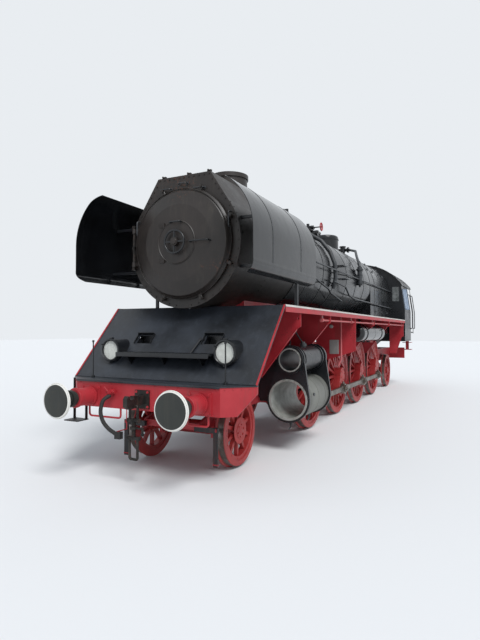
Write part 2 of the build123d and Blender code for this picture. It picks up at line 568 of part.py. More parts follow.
# Smokebox door, hung on the engine's right
DOOR_S = SMOKEBOX_S - DOOR_DEPTH
dish = [(DOOR_S, 1), (DOOR_S + 8, 300), (DOOR_S + 34, 560), (SMOKEBOX_S - 98, DOOR_R - 60), (SMOKEBOX_S - 44, DOOR_R - 6)]
door = cones(dish) + rod_y(SMOKEBOX_S - 44, SMOKEBOX_S - 6, 0, BOILER_Z, DOOR_R)
cavity = [(DOOR_S + 18, 1), (DOOR_S + 26, 300), (DOOR_S + 52, 550), (SMOKEBOX_S - 60, DOOR_R - 110), (SMOKEBOX_S - 5, DOOR_R - 80)]
HINGE_X = -DOOR_R - 55
HINGE_S = SMOKEBOX_S - 45
HINGE_R = 20.0
HINGE_FIT = 1.0
strap_z = (BOILER_Z - 260, BOILER_Z + 260)
for z in strap_z:
    strap_line = [(HINGE_X, HINGE_S - 12), (HINGE_X, HINGE_S + 12), (-200, DOOR_S + 34), (-200, DOOR_S - 8)]
    strap = level_plate(strap_line, z - 30, z + 30)
    door = door + (strap - rod_y(SMOKEBOX_S - 6, SMOKEBOX_S + 60, 0, BOILER_Z, DOOR_R + 200))
    door = door + rod_z(z - 36, z + 36, HINGE_X, HINGE_S, 34)
door = door + rod_y(DOOR_S - 60, DOOR_S + 20, 0, BOILER_Z, 60)
for z in strap_z:
    door = door - rod_z(z - 60, z + 60, HINGE_X, HINGE_S, HINGE_R + HINGE_FIT)
door = door - cones(cavity)
keep("smokebox_door", door)
rim = Pos(0, DOOR_S - 45 + Y0, BOILER_Z + RAIL) * Rot(90, 0, 0) * Torus(HANDWHEEL_R, 15)
arms = box(-HANDWHEEL_R, HANDWHEEL_R, DOOR_S - 52, DOOR_S - 38, BOILER_Z - 11, BOILER_Z + 11)
arms = arms + box(-11, 11, DOOR_S - 52, DOOR_S - 38, BOILER_Z - HANDWHEEL_R, BOILER_Z + HANDWHEEL_R)
handle = pipe([(250, DOOR_S + 25, BOILER_Z - 12), (250, DOOR_S - 55, BOILER_Z - 12), (560, DOOR_S - 55, BOILER_Z - 12),
               (560, DOOR_S + 60, BOILER_Z - 12)], 12, 25)
top_handle = pipe([(-90, DOOR_S + 25, BOILER_Z + 290), (-90, DOOR_S - 50, BOILER_Z + 290), (90, DOOR_S - 50, BOILER_Z + 290),
                   (90, DOOR_S + 25, BOILER_Z + 290)], 11, 25)
keep("door_fittings", rim + (arms - door), handle - door, top_handle - door)
pin = rod_z(BOILER_Z - 340, BOILER_Z + 340, HINGE_X, HINGE_S, HINGE_R)
for z in (BOILER_Z - 328, BOILER_Z, BOILER_Z + 328):
    pin = pin + box(HINGE_X - 24, HINGE_X + 24, HINGE_S - 20, SMOKEBOX_S, z - 18, z + 18)
keep("door_hinge_pin", pin)

# Boiler barrel, cone and round-topped firebox
barrel = rod_y(SMOKEBOX_END, CONE_S, 0, BOILER_Z, BARREL_R)
cone = cones([(CONE_S, BARREL_R), (CONE_END, FIREBOX_R)])
keep("boiler_barrel", barrel + cone + rod_y(CONE_END, FIREBOX_S, 0, BOILER_Z, FIREBOX_R))
fire_top = rod_y(FIREBOX_S, BACKHEAD_S, 0, BOILER_Z, FIREBOX_R)
fire = fire_top + box(-FIREBOX_R, FIREBOX_R, FIREBOX_S, BACKHEAD_S, FIREBOX_LOW, BOILER_Z)

# Firehole with a flap that tips inwards about a pin along its top edge
HOLE_HALF = 215.0
HOLE_H = 330.0
HOLE_LOW = FLOOR_Z + 260
HOLE_DEPTH = 420.0
FLAP_T = 16.0
FLAP_PIN_R = 12.0
flap_z = HOLE_LOW + HOLE_H - 30
flap_s = BACKHEAD_S - 30
hole = box(-HOLE_HALF, HOLE_HALF, BACKHEAD_S - HOLE_DEPTH, BACKHEAD_S + 5, HOLE_LOW, HOLE_LOW + HOLE_H)
pin_bore = rod_x(-HOLE_HALF - 30 - SEAT, HOLE_HALF + 30 + SEAT, flap_s, flap_z, FLAP_PIN_R + SEAT)
keep("firebox", fire - hole - pin_bore)
flap = box(-HOLE_HALF + 6, HOLE_HALF - 6, flap_s - FLAP_T / 2, flap_s + FLAP_T / 2, HOLE_LOW + 6, flap_z)
flap = flap + rod_x(-HOLE_HALF - 30, HOLE_HALF + 30, flap_s, flap_z, FLAP_PIN_R)
keep("firehole_flap", flap)

# Ashpan, narrow beside the last coupled wheels and wide behind them
pan_low, pan_half, pan_out = FRAME_TOP + 10, FRAME_IN - 20, FIREBOX_R - 60
wide_s = COUPLED_S[3] + COUPLED_R + RAIL + 90
pan = box(-pan_half, pan_half, FIREBOX_S + 30, wide_s + 5, pan_low, FIREBOX_LOW)
pan = pan + cross_plate([(-pan_half, pan_low), (pan_half, pan_low), (pan_out, FIREBOX_LOW), (-pan_out, FIREBOX_LOW)],
                        wide_s, BACKHEAD_S - 40)
keep("ashpan", pan)

# Smoke deflectors: curved sheets on struts from the smokebox
DEFLECT_S = 920.0
DEFLECT_LENGTH = 2460.0
DEFLECT_LOW = 2650.0
DEFLECT_TOP = 3950.0
DEFLECT_X = 1462.0
DEFLECT_T = 8.0
DEFLECT_CORNER = 150.0
knee_low, knee_high = DEFLECT_LOW + 190, DEFLECT_LOW + 550
sheet_line = Line((DEFLECT_X - 112, DEFLECT_LOW + 20), (DEFLECT_X - 62, DEFLECT_LOW + 50))
sheet_line += TangentArc((DEFLECT_X - 62, DEFLECT_LOW + 50), (DEFLECT_X, knee_low), tangent=(50, 30))
sheet_line += Line((DEFLECT_X, knee_low), (DEFLECT_X, knee_high))
sheet_line += TangentArc((DEFLECT_X, knee_high), (DEFLECT_X - 432, DEFLECT_TOP - 20), tangent=(0, 1))
section = make_face(offset(Wire(sheet_line.edges()), DEFLECT_T / 2))
sheet = Pos(0, DEFLECT_S + Y0, RAIL) * extrude(Plane.XZ * section, amount=-DEFLECT_LENGTH)
trim_mid = ((DEFLECT_S + DEFLECT_LENGTH / 2) + Y0, (DEFLECT_LOW + DEFLECT_TOP) / 2 + RAIL)
trim = Pos(0, *trim_mid) * Rot(0, 90, 0) * extrude(
    RectangleRounded(DEFLECT_TOP - DEFLECT_LOW, DEFLECT_LENGTH, DEFLECT_CORNER), amount=2 * DEFLECT_X)
deflector = sheet & trim
keep("smoke_deflectors", pair(deflector))
struts = []
for s in (DEFLECT_S + 830, DEFLECT_S + 1580, DEFLECT_S + 2230):
    for z in (DEFLECT_LOW + 210, DEFLECT_LOW + 910):
        strut = box(500, DEFLECT_X, s - 20, s + 20, z - 20, z + 20) - sheet - smokebox_out
        struts += pair(strut.solids().sort_by(Axis.X)[0])
post = box(DEFLECT_X - 150, DEFLECT_X - 100, DEFLECT_S + 1840, DEFLECT_S + 1880, BOARD_Z, DEFLECT_LOW + 200) - sheet
struts += pair(post.solids().sort_by(Axis.Z)[0])
keep("deflector_struts", struts)

# Steam dome
dome = rod_z(BOILER_Z + 500, BOILER_Z + FIREBOX_R + DOME_H, 0, DOME_S, DOME_R)
dome = fillet(dome.edges().filter_by(GeomType.CIRCLE).sort_by(Axis.Z)[-1], 70)
rear_skin = rod_y(CONE_END, FIREBOX_S, 0, BOILER_Z, FIREBOX_R)

# Mountings along the top of the boiler: a generator, the auxiliary steam valves and the feed valve
GENERATOR_S = 5350.0
gen_z = BOILER_Z + BARREL_R + 250
generator = rod_x(-210, 150, GENERATOR_S, gen_z, 165) + rod_x(-260, -200, GENERATOR_S, gen_z, 120)
generator = generator + rod_x(150, 215, GENERATOR_S, gen_z, 95)
generator = generator + box(-170, 120, GENERATOR_S - 130, GENERATOR_S + 130, BOILER_Z + BARREL_R - 90, gen_z)
generator = generator + rod_z(gen_z, gen_z + 240, 60, GENERATOR_S + 300, 34) + rod_y(GENERATOR_S, GENERATOR_S + 300, 60, gen_z + 30, 30)
generator = generator + rod_z(BOILER_Z + BARREL_R - 60, gen_z + 30, 60, GENERATOR_S + 300, 60)
TURRET_S = 7250.0
turret_z = BOILER_Z + FIREBOX_R
turret = rod_z(turret_z - 90, turret_z + 300, 0, TURRET_S, 105) + rod_z(turret_z + 60, turret_z + 95, 0, TURRET_S, 150)
turret = turret + rod_z(turret_z + 225, turret_z + 255, 0, TURRET_S, 140) + rod_z(turret_z + 300, turret_z + 420, 0, TURRET_S, 38)
turret = turret + rod_x(-260, 260, TURRET_S, turret_z + 160, 62) + rod_x(-300, -255, TURRET_S, turret_z + 160, 95)
for z, x1, s_off in ((330, 210, 60), (200, 330, 180)):
    turret = turret + rod_y(TURRET_S, TURRET_S + s_off + 60, x1 - 110, turret_z + z, 45) + rod_x(0, x1 - 60, TURRET_S, turret_z + z, 40)
spindle = rod_x(140, 330, TURRET_S + 60, turret_z + 330, 15)
turret = turret + spindle
FEED_S = 9650.0
feed_z = BOILER_Z + FIREBOX_R
feed = rod_z(feed_z - 120, feed_z + 170, 240, FEED_S, 70) + rod_x(60, 420, FEED_S, feed_z + 90, 48)
feed = feed + rod_x(380, 425, FEED_S, feed_z + 90, 80) + rod_z(feed_z + 170, feed_z + 200, 240, FEED_S, 95)
whole_skin = barrel + cone + rear_skin
keep("boiler_mountings", dome - rear_skin, generator - whole_skin, turret - whole_skin, feed - whole_skin)
wheel_rim_line = Pos(330, TURRET_S + 60 + Y0, turret_z + 330 + RAIL) * Rot(0, 90, 0) * Torus(95, 13)
wheel_arm = rod_z(turret_z + 235, turret_z + 425, 330, TURRET_S + 60, 9) + rod_y(TURRET_S - 35, TURRET_S + 155, 330, turret_z + 330, 9)
hand = wheel_rim_line + wheel_arm - spindle
keep("turret_handwheel", hand)

# Pipes on the boiler's flanks: x, station, height; radius; bend
PIPE_GAP = 30.0
ring_r = BARREL_R + 45 + 30
clack_x, clack_s = 1040.0, 8350.0


def on_ring(r, angle, s):
    return (r * cos(radians(angle)), s, BOILER_Z + r * sin(radians(angle)))


flank_pipes = [
    ([on_ring(ring_r + 3, a, 6200) for a in (66, 48, 30, 12, -6, -20)], 45, 120),
    ([(425, FEED_S, feed_z + 90), (700, FEED_S - 350, feed_z - 20), (860, clack_s + 430, BOILER_Z + 720),
      (clack_x - 40, clack_s + 40, BOILER_Z + 520), (clack_x, clack_s, BOILER_Z + 390)], 34, 60),
    ([(1010, 4600, 2990), (1030, 5550, 2820), (1030, 5700, 2745), (1060, 6450, 2610)], 20, 50),
    ([(1035, 5990, 3020), (1035, 6920, 2970), (1050, 7190, 2790), (1055, 7680, 2730), (1055, CAB_S, 2700)], 20, 50),
]
pipes = []
past_cab = box(-HALF_WIDTH, HALF_WIDTH, CAB_S, CAB_S + 200, BOILER_Z - 800, BOILER_Z)
for points, r, bend in flank_pipes:
    tube = pipe(points, r, bend) - feed - past_cab
    pipes += pair(tube.solids().sort_by(SortBy.VOLUME)[-1])
clack = rod_z(BOILER_Z - 90, BOILER_Z + 390, clack_x, clack_s, 62) + rod_z(BOILER_Z - 60, BOILER_Z - 25, clack_x, clack_s, 92)
clack = clack + rod_z(BOILER_Z + 300, BOILER_Z + 335, clack_x, clack_s, 92)
clack = clack + rod_x(FIREBOX_R - 40, clack_x, clack_s, BOILER_Z + 130, 60)
clack = clack - rear_skin
pipes += pair(clack)
# Brackets that hold the flank pipes to the cladding: x, station, height
for x, s, z in ((1020, 5000, 2920), (1040, 6300, 2640), (1035, 6300, 3000), (1055, 8600, 2720), (1055, 11000, 2712)):
    clip = rod_x(760, x, s, z, 14) - whole_skin - fire - Compound(children=[p for p in pipes])
    outer = clip.solids().sort_by(Axis.X)[-1]
    pipes += pair(outer)
keep("boiler_pipes", pipes)

# Handrails along the boiler, with their standards
RAIL_X = 1035.0
RAIL_Z = BOILER_Z + 60
RAIL_R = 16.0
rail = rod_y(4700, CAB_S, RAIL_X, RAIL_Z, RAIL_R)
for s in (4760, 6500, 8900, 10300, 11700, CAB_S - 120):
    rail = rail + (rod_x(800, RAIL_X, s, RAIL_Z, 12) - whole_skin - fire)
handrails = pair(rail - pipes[0] - pipes[2] - pipes[8] - pipes[9])

# Small footboards on the boiler's left and right flank: station, height
boards = []
for s, z in ((6560, BOILER_Z + 190), (6760, BOILER_Z - 90)):
    plate = box(600, 1130, s - 170, s + 170, z, z + 14) - whole_skin
    boards += pair(plate.solids().sort_by(Axis.X)[-1])
keep("boiler_handrails", handrails, boards)

# Cylinder blocks, open at both ends: barrel, end plates and a web to the frame, with the
# valve chest as a tube seated in them
plate_line = [(CYL_X - FLANGE_R + 18, CYL_Z + 110), (VALVE_X - VALVE_R - 26, VALVE_Z - 40),
              (VALVE_X + VALVE_R + 26, VALVE_Z - 40), (CYL_X + FLANGE_R - 4, CYL_Z + 60)]
chest = rod_y(CYL_S - 45, CYL_END + VALVE_REACH, VALVE_X, VALVE_Z, VALVE_R)
for s in (CYL_S - 45, CYL_S + 130, CYL_END - 170, CYL_END + VALVE_REACH - 34):
    chest = chest + rod_y(s, s + 34, VALVE_X, VALVE_Z, VALVE_R + 16)
cylinder = rod_y(CYL_S, CYL_END, CYL_X, CYL_Z, BORE_R + BARREL_WALL)
for s in (CYL_S, CYL_END - FLANGE_T):
    chest = chest + rod_y(s, s + FLANGE_T, VALVE_X, VALVE_Z, VALVE_R + 28)
    cylinder = cylinder + rod_y(s, s + FLANGE_T, CYL_X, CYL_Z, FLANGE_R) + cross_plate(plate_line, s, s + FLANGE_T)
neck = cross_plate([(FRAME_OUT + 20, CYL_Z), (FRAME_OUT + 20, VALVE_Z), (VALVE_X - 60, VALVE_Z), (CYL_X + 20, CYL_Z)],
                   CYL_S + FLANGE_T, CYL_END - FLANGE_T)
root = box(FRAME_OUT, CYL_X, CYL_S + 120, CYL_END - 120, CYL_Z - 60, VALVE_Z - 80)
cylinder = cylinder + neck + root - chest
cylinder = cylinder - rod_y(CYL_S - 5, CYL_END + 5, CYL_X, CYL_Z, BORE_R)
keep("cylinders", pair(cylinder))
keep("valve_chests", pair(chest - rod_y(CYL_S - 60, CYL_END + VALVE_REACH + 10, VALVE_X, VALVE_Z, VALVE_BORE)))

# Inside cylinder and smokebox saddle, one casting between the frame plates
saddle_low, saddle_s0, saddle_s1 = FRAME_LOW + 220, CYL_S - 360, CYL_END + 280
saddle = box(-FRAME_IN, FRAME_IN, saddle_s0, saddle_s1, saddle_low, FRAME_TOP - 40)
saddle = saddle + cross_plate(
    [(-FRAME_IN, FRAME_TOP - 40), (FRAME_IN, FRAME_TOP - 40), (FRAME_IN, FRAME_TOP), (FRAME_IN + 20, BOILER_Z - 620),
     (-FRAME_IN - 20, BOILER_Z - 620), (-FRAME_IN, FRAME_TOP)], saddle_s0 + 60, SMOKEBOX_END - 60)
keep("saddle", saddle - rod_y(SMOKEBOX_S, SMOKEBOX_END + 10, 0, BOILER_Z, SMOKEBOX_R))

# Headlamps that stand out of the apron
LAMP_X = 960.0
LAMP_Z = 1650.0
LAMP_R = 170.0
LAMP_S = 1110.0
LAMP_RIM = 30.0
lamp_back = DECK_S + (LAMP_Z + LAMP_R - deck_top) / slope + 30
lamp = rod_y(LAMP_S, lamp_back, LAMP_X, LAMP_Z, LAMP_R - 12) + rod_y(LAMP_S, LAMP_S + 60, LAMP_X, LAMP_Z, LAMP_R)
lamp = lamp - behind - rod_y(LAMP_S - 5, LAMP_S + 40, LAMP_X, LAMP_Z, LAMP_R - LAMP_RIM)
keep("headlamps", pair(lamp))
keep("lamp_glasses", pair(rod_y(LAMP_S + 18, LAMP_S + 40, LAMP_X, LAMP_Z, LAMP_R - LAMP_RIM)))

# Step board across the apron on its brackets, and marker rods on the deck's corners
STEP_Z = 1600.0
step = box(-760, 780, DECK_S + 40, DECK_S + 300, STEP_Z, STEP_Z + 30)
for x in (-600, -20, 600):
    step = step + side_plate([(DECK_S + 60, STEP_Z), (DECK_S + 360, STEP_Z), (DECK_S + 200, STEP_Z - 170)], x, x + 14)
marker = rod_z(deck_top, STEP_Z + 190, 1090, DECK_S - 60, 9) + rod_z(deck_top, deck_top + 30, 1090, DECK_S - 60, 26)
marker = marker + rod_z(STEP_Z + 170, STEP_Z + 200, 1090, DECK_S - 60, 16)
keep("apron_fittings", step - behind, pair(marker))

# Air reservoirs slung under the running boards
TANK_R = 208.0
TANK_X = 1230.0
TANK_Z = 1880.0
TANK_S = 7050.0
TANK_LENGTH = 2650.0
tank = rod_y(TANK_S, TANK_S + TANK_LENGTH, TANK_X, TANK_Z, TANK_R)
tank = fillet(tank.edges().filter_by(GeomType.CIRCLE), 110)
for s in (TANK_S + 400, TANK_S + TANK_LENGTH - 500):
    tank = tank + box(TANK_X - 25, TANK_X + 25, s, s + 60, TANK_Z + 150, BOARD_Z - PLATE)
    tank = tank + rod_y(s, s + 60, TANK_X, TANK_Z, TANK_R + 8)
tanks = pair(tank)
keep("air_reservoirs", tanks)

# Conduit under the boards' edge with its clamps, and the sand pipes
CONDUIT_X = 1450.0
CONDUIT_R = 17.0
CONDUIT_Z = 2120.0
conduit = rod_y(3740, CAB_S, CONDUIT_X, CONDUIT_Z, CONDUIT_R)
for s in (3740, 5760, 7900, 10200, 12500):
    conduit = conduit + rod_y(s - 28, s + 28, CONDUIT_X, CONDUIT_Z, 34)
    conduit = conduit + box(CONDUIT_X - 12, CONDUIT_X + 12, s - 22, s + 22, CONDUIT_Z, BOARD_Z - PLATE)
sand = pipe([(1200, 5905, BOARD_Z - PLATE), (1200, 5905, 1330), (1130, 5905, 1180)], 19, 60)
side_pipes = []
for one in (conduit, sand):
    side_pipes += pair(one)
keep("side_pipes", side_pipes)


# Plates that carry the boards, standing between the wheels: station, inner x, low inner z, low outer z
bracket_x = HALF_WIDTH - PLATE
tank_clear = FIREBOX_R + 40
bracket_table = [
    (2560, FRAME_OUT, 1200, 2000),
    (CYL_END + 80, FRAME_OUT, 1330, 2080),
    (COUPLED_S[1] - 1000, FRAME_OUT, 1290, 1520),
    (COUPLED_S[2] - 1000, FRAME_OUT, 1290, 2080),
    (COUPLED_S[3] - 1000, FRAME_OUT, 1290, 2080),
    (TRAIL_S - 750, tank_clear, 1180, 1760),
]
conduit_way = rod_y(BEAM_S, CAB_S, CONDUIT_X, CONDUIT_Z, CONDUIT_R + SEAT)
brackets = []
for s, x0, z0, z1 in bracket_table:
    plate = cross_plate([(x0, z0), (x0 + 220, z0), (1420, z1 - 40), (bracket_x, z1),
                         (bracket_x, BOARD_Z - PLATE), (x0, BOARD_Z - PLATE)], s, s + 16)
    if FIREBOX_S - 60 < s < TRAIL_S - 1000:
        plate = plate - box(0, tank_clear, s - 5, s + 25, 1600, BOARD_Z)
    brackets += pair(plate - under_boiler - tanks[0] - conduit_way)
# Blank plate on the front of the motion bracket
motion_s = bracket_table[2][0]
for side in (-1, 1):
    brackets.append(box(side * 910, side * 1120, motion_s - 6, motion_s, 1430, 1740))
keep("board_brackets", brackets)


# Cab: sides upright to the waist and leaning in above it, under an arched roof
def cab_slab(grow, low, s0, s1, eave_drop=0.0):
    # The cab's cross section, moved out by grow, as a slab across it
    x1, x2 = HALF_WIDTH + grow, EAVE_X + grow
    crest = ThreePointArc((-x2, EAVE_Z), (0, ROOF_Z + grow), (x2, EAVE_Z))
    sides = Polyline([(x2, EAVE_Z), (x1, WAIST_Z), (x1, low), (-x1, low), (-x1, WAIST_Z), (-x2, EAVE_Z)])
    slab = extrude(Plane.XZ * make_face(crest.edges() + sides.edges()), amount=s0 - s1)
    return Pos(0, s0 + Y0, RAIL) * slab


inside = cab_slab(-WALL, CAB_LOW - 10, CAB_S - 5, CAB_END + 5)
shell = cab_slab(0, CAB_LOW, CAB_S, CAB_END)
doorway_s = CAB_END - POST_W - DOORWAY_W
below_eave = box(-HALF_WIDTH - 1, HALF_WIDTH + 1, CAB_S - 1, CAB_END + 1, CAB_LOW - 1, EAVE_Z)
walls = (shell - inside) & below_eave
doorway = box(-HALF_WIDTH - 10, HALF_WIDTH + 10, doorway_s, CAB_END - POST_W, CAB_LOW - 20, EAVE_Z - 60)
window_s = (CAB_S + 220, CAB_S + 220 + WINDOW_W + 80)
windows = []
for s in window_s:
    windows.append(box(-HALF_WIDTH - 10, HALF_WIDTH + 10, s, s + (WINDOW_W if s == window_s[0] else WINDOW_W - 170), WINDOW_LOW, WINDOW_TOP))
walls = walls - doorway
for window in windows:
    walls = walls - window
walls = walls - box(-HALF_WIDTH - 10, HALF_WIDTH + 10, CAB_END - POST_W - 1, CAB_END + 5, CAB_LOW - 20, FLOOR_Z - 60)
left_wall = walls & box(0, 2 * HALF_WIDTH, CAB_S - 5, CAB_END + 5, CAB_LOW - 20, EAVE_Z + 5)
keep("cab_sides", pair(left_wall))
front = cab_slab(0, CAB_LOW, CAB_S, CAB_S + WALL) - fire - pan - walls
FRONT_PANE = (1080.0, 300.0, 2950.0, 3450.0)
pane_x0, pane_w, pane_low, pane_top = FRONT_PANE
pane_x1 = min(pane_x0 + pane_w, EAVE_X - 60)
for side in (-1, 1):
    front = front - box(side * pane_x0, side * pane_x1, CAB_S - 5, CAB_S + WALL + 5, pane_low, pane_top)
keep("cab_front", front)
roof = cab_slab(ROOF_T, CAB_LOW, CAB_S - ROOF_OVER, CAB_END + ROOF_OVER)
roof = roof - cab_slab(0, CAB_LOW - 5, CAB_S - ROOF_OVER - 5, CAB_END + ROOF_OVER + 5)
roof = roof - box(-2 * HALF_WIDTH, 2 * HALF_WIDTH, CAB_S - 1000, CAB_END + 1000, CAB_LOW - 20, EAVE_Z - 40)
keep("cab_roof", roof)
floor = box(-HALF_WIDTH + WALL, HALF_WIDTH - WALL, CAB_S + WALL, CAB_END, FLOOR_Z - 40, FLOOR_Z) - fire
keep("cab_floor", floor)
glass = []
for side in (-1, 1):
    glass.append(box(side * pane_x0, side * pane_x1, CAB_S + 1, CAB_S + 1 + GLASS, pane_low, pane_top))
wind_s = CAB_S + 200
lean = (HALF_WIDTH - EAVE_X) / (EAVE_Z - WAIST_Z)
wind_x0 = HALF_WIDTH - lean * (WINDOW_LOW - 60 - WAIST_Z)
wind_x1 = HALF_WIDTH - lean * (WINDOW_TOP + 40 - WAIST_Z)
shield = cross_plate([(wind_x0, WINDOW_LOW - 60), (wind_x0 + 150, WINDOW_LOW - 60), (wind_x1 + 150, WINDOW_TOP + 40),
                      (wind_x1, WINDOW_TOP + 40)], wind_s, wind_s + GLASS)
keep("cab_glass", glass, pair(shield))

# Cab steps, hung below the doorways
cab_steps = None
for z in (1500.0, 1240.0):
    tread_plate = box(1180, 1480, doorway_s + 90, doorway_s + 490, z, z + 14)
    cab_steps = tread_plate if cab_steps is None else cab_steps + tread_plate
for s in (doorway_s + 96, doorway_s + 470):
    cab_steps = cab_steps + box(1300, 1360, s, s + 14, 1240, FLOOR_Z - 40)
keep("cab_steps", pair(cab_steps))

# Fittings on the backhead: regulator handle, gauge glasses, a shelf of valves
knobs = rod_y(BACKHEAD_S, BACKHEAD_S + 120, -250, BOILER_Z + 420, 45)
knobs = knobs + side_plate([(BACKHEAD_S + 90, BOILER_Z + 420), (BACKHEAD_S + 120, BOILER_Z + 420),
                            (BACKHEAD_S + 120, BOILER_Z - 60), (BACKHEAD_S + 90, BOILER_Z - 60)], -268, -232)
fittings = [knobs]
for x in (-520, 520):
    gauge = rod_z(BOILER_Z + 60, BOILER_Z + 420, x, BACKHEAD_S + 70, 24)
    for z in (BOILER_Z + 110, BOILER_Z + 370):
        gauge = gauge + rod_y(BACKHEAD_S, BACKHEAD_S + 70, x, z, 22)
    fittings.append(gauge)
manifold = rod_x(-420, 420, BACKHEAD_S + 90, BOILER_Z + 700, 48)
for x in (-360, -120, 120, 360):
    manifold = manifold + rod_y(BACKHEAD_S + 90, BACKHEAD_S + 200, x, BOILER_Z + 700, 20) + rod_y(BACKHEAD_S + 190, BACKHEAD_S + 205, x, BOILER_Z + 700, 58)
manifold = manifold + box(-60, 60, BACKHEAD_S, BACKHEAD_S + 60, BOILER_Z + 670, BOILER_Z + 730)
fittings.append(manifold)
keep("backhead_fittings", fittings)

for name, shape in parts.items():
    export_step(shape, f"parts/{name}.step")
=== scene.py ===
import math
from itertools import product

import bmesh
import bpy
from mathutils import Matrix, Vector


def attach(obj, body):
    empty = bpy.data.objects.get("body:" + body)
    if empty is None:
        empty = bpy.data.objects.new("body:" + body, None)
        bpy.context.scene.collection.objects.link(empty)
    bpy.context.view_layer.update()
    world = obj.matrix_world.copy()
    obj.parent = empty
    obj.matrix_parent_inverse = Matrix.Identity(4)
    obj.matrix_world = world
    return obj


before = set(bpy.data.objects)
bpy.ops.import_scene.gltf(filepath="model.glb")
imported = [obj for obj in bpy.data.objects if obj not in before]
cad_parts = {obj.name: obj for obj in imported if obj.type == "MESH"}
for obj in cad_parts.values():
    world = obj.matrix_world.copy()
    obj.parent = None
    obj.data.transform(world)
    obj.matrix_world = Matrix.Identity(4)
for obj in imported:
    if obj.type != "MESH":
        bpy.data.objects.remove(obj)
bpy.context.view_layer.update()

bl_info = {
    "name": "Stored steam locomotive",
    "version": (1, 0, 0),
    "blender": (4, 5, 0),
    "location": "3D View > Sidebar > Locomotive",
    "description": "Dresses the packed locomotive with paint, rivets, bands, bolts and fittings",
    "category": "Object",
}

# The part's own measures, in metres: stations run back from the buffer faces, heights from the rail
Y0 = -7.6
RAIL = 0.028
BOILER_Z = 3.22
SMOKEBOX_R = 0.95
BARREL_R = 0.93
FIREBOX_R = 0.985
HALF_WIDTH = 1.5
BOARD_Z = 2.3
DECK_S, DECK_Z = 0.96, 1.262
APRON_TOP_S = 1.9
COUPLED_S = (5.02, 7.02, 9.02, 11.02)
COUPLED_R = 0.875
CRANK_R = 0.33
# Crank angles of the left and right side, from straight down
CRANKS = {1: 30.0, -1: -90.0}
CYL_X, CYL_Z, CYL_S, CYL_END, CYL_BORE = 1.15, 0.83, 2.88, 4.06, 0.3
VALVE_X, VALVE_Z = 1.2, 1.47
# Station and radius of the small wheels
LEADING, TRAILING = (1.85, 0.5), (13.45, 0.55)
BUFFER_X, BUFFER_Z = 0.875, 1.045
LAMP_X, LAMP_Z = 0.96, 1.65
TANK_X, TANK_Z = 1.23, 1.88
# The cab's sides lean in from the waist up to the eaves, and its roof is an arch
WAIST_Z, EAVE_X, EAVE_Z, CROWN_Z, ARCH_RISE = 2.62, 1.37, 3.54, 4.23, 0.69
# Cab dials: x, height, radius
DIALS = ((-0.72, 3.62, 0.085), (0.72, 3.62, 0.085), (-0.2, 3.6, 0.1), (0.2, 3.6, 0.1), (0.0, 3.5, 0.06))
SIDES = (1, -1)
FRONT, REAR, UP, DOWN, ACROSS = (0, -1, 0), (0, 1, 0), (0, 0, 1), (0, 0, -1), (1, 0, 0)
# The camera fitted to the photograph: x, station and height, and its turns in degrees
EYE_PLACE, EYE_TILT, EYE_TURN = (4.0196, -4.4957, 1.9333), 91.278, 26.81
SILL_Z, LINTEL_Z = 2.712, 3.348


def at(x, s, z):
    return Vector((x, s + Y0, z + RAIL))


# ---- Colours and nodes ----


def linear(code):
    """An sRGB hex colour as linear red, green, blue and alpha."""
    values = []
    for i in (1, 3, 5):
        v = int(code[i:i + 2], 16) / 255
        values.append(v / 12.92 if v <= 0.04045 else ((v + 0.055) / 1.055) ** 2.4)
    return (*values, 1.0)


def add_node(tree, kind, settings=None, inputs=None, links=None):
    """Add a node, set its properties and sockets, and link other nodes' outputs to its inputs."""
    node = tree.nodes.new(kind)
    for key, value in (settings or {}).items():
        setattr(node, key, value)
    for key, value in (inputs or {}).items():
        node.inputs[key].default_value = value
    for key, socket in (links or {}).items():
        tree.links.new(socket, node.inputs[key])
    return node


def add_tone(tree, value, low, high):
    """A ramp between two colours, each given with its place."""
    node = add_node(tree, "ShaderNodeValToRGB", links={"Fac": value})
    for element, (place, colour) in zip(node.color_ramp.elements, (low, high)):
        element.position = place
        element.color = linear(colour) if isinstance(colour, str) else tuple(colour)
    return node.outputs["Color"]


def add_noise(tree, where, scale, detail, rough=0.5):
    return add_node(tree, "ShaderNodeTexNoise", inputs={"Scale": scale, "Detail": detail, "Roughness": rough},
                    links={"Vector": where}).outputs["Fac"]


def add_range(tree, value, low, high, least, most):
    """Bring what lies between low and high to between least and most."""
    limits = {"From Min": low, "From Max": high, "To Min": least, "To Max": most}
    return add_node(tree, "ShaderNodeMapRange", inputs=limits, links={"Value": value}).outputs["Result"]


def add_math(tree, operation, first, second=None):
    """Work on one or two sockets, or on a socket and a number."""
    node = add_node(tree, "ShaderNodeMath", {"operation": operation}, links={0: first})
    if isinstance(second, float):
        node.inputs[1].default_value = second
    elif second:
        tree.links.new(second, node.inputs[1])
    return node.outputs["Value"]


def add_cover(tree, share, under, code):
    """A colour laid over another one by a share from 0 to 1."""
    return add_node(tree, "ShaderNodeMix", {"data_type": "RGBA"}, {7: linear(code)}, {0: share, 6: under}).outputs[2]


def add_bump(tree, height, strength, distance, under=None):
    links = {"Height": height, "Normal": under} if under else {"Height": height}
    return add_node(tree, "ShaderNodeBump", inputs={"Strength": strength, "Distance": distance},
                    links=links).outputs["Normal"]


def stretched(tree, where, scale):
    return add_node(tree, "ShaderNodeMapping", inputs={"Scale": scale}, links={"Vector": where}).outputs["Vector"]


def axis_of(tree, where, axis):
    return add_node(tree, "ShaderNodeSeparateXYZ", links={"Vector": where}).outputs[axis]


def feed(tree, shader, sockets):
    for key, socket in sockets.items():
        tree.links.new(socket, shader.inputs[key])


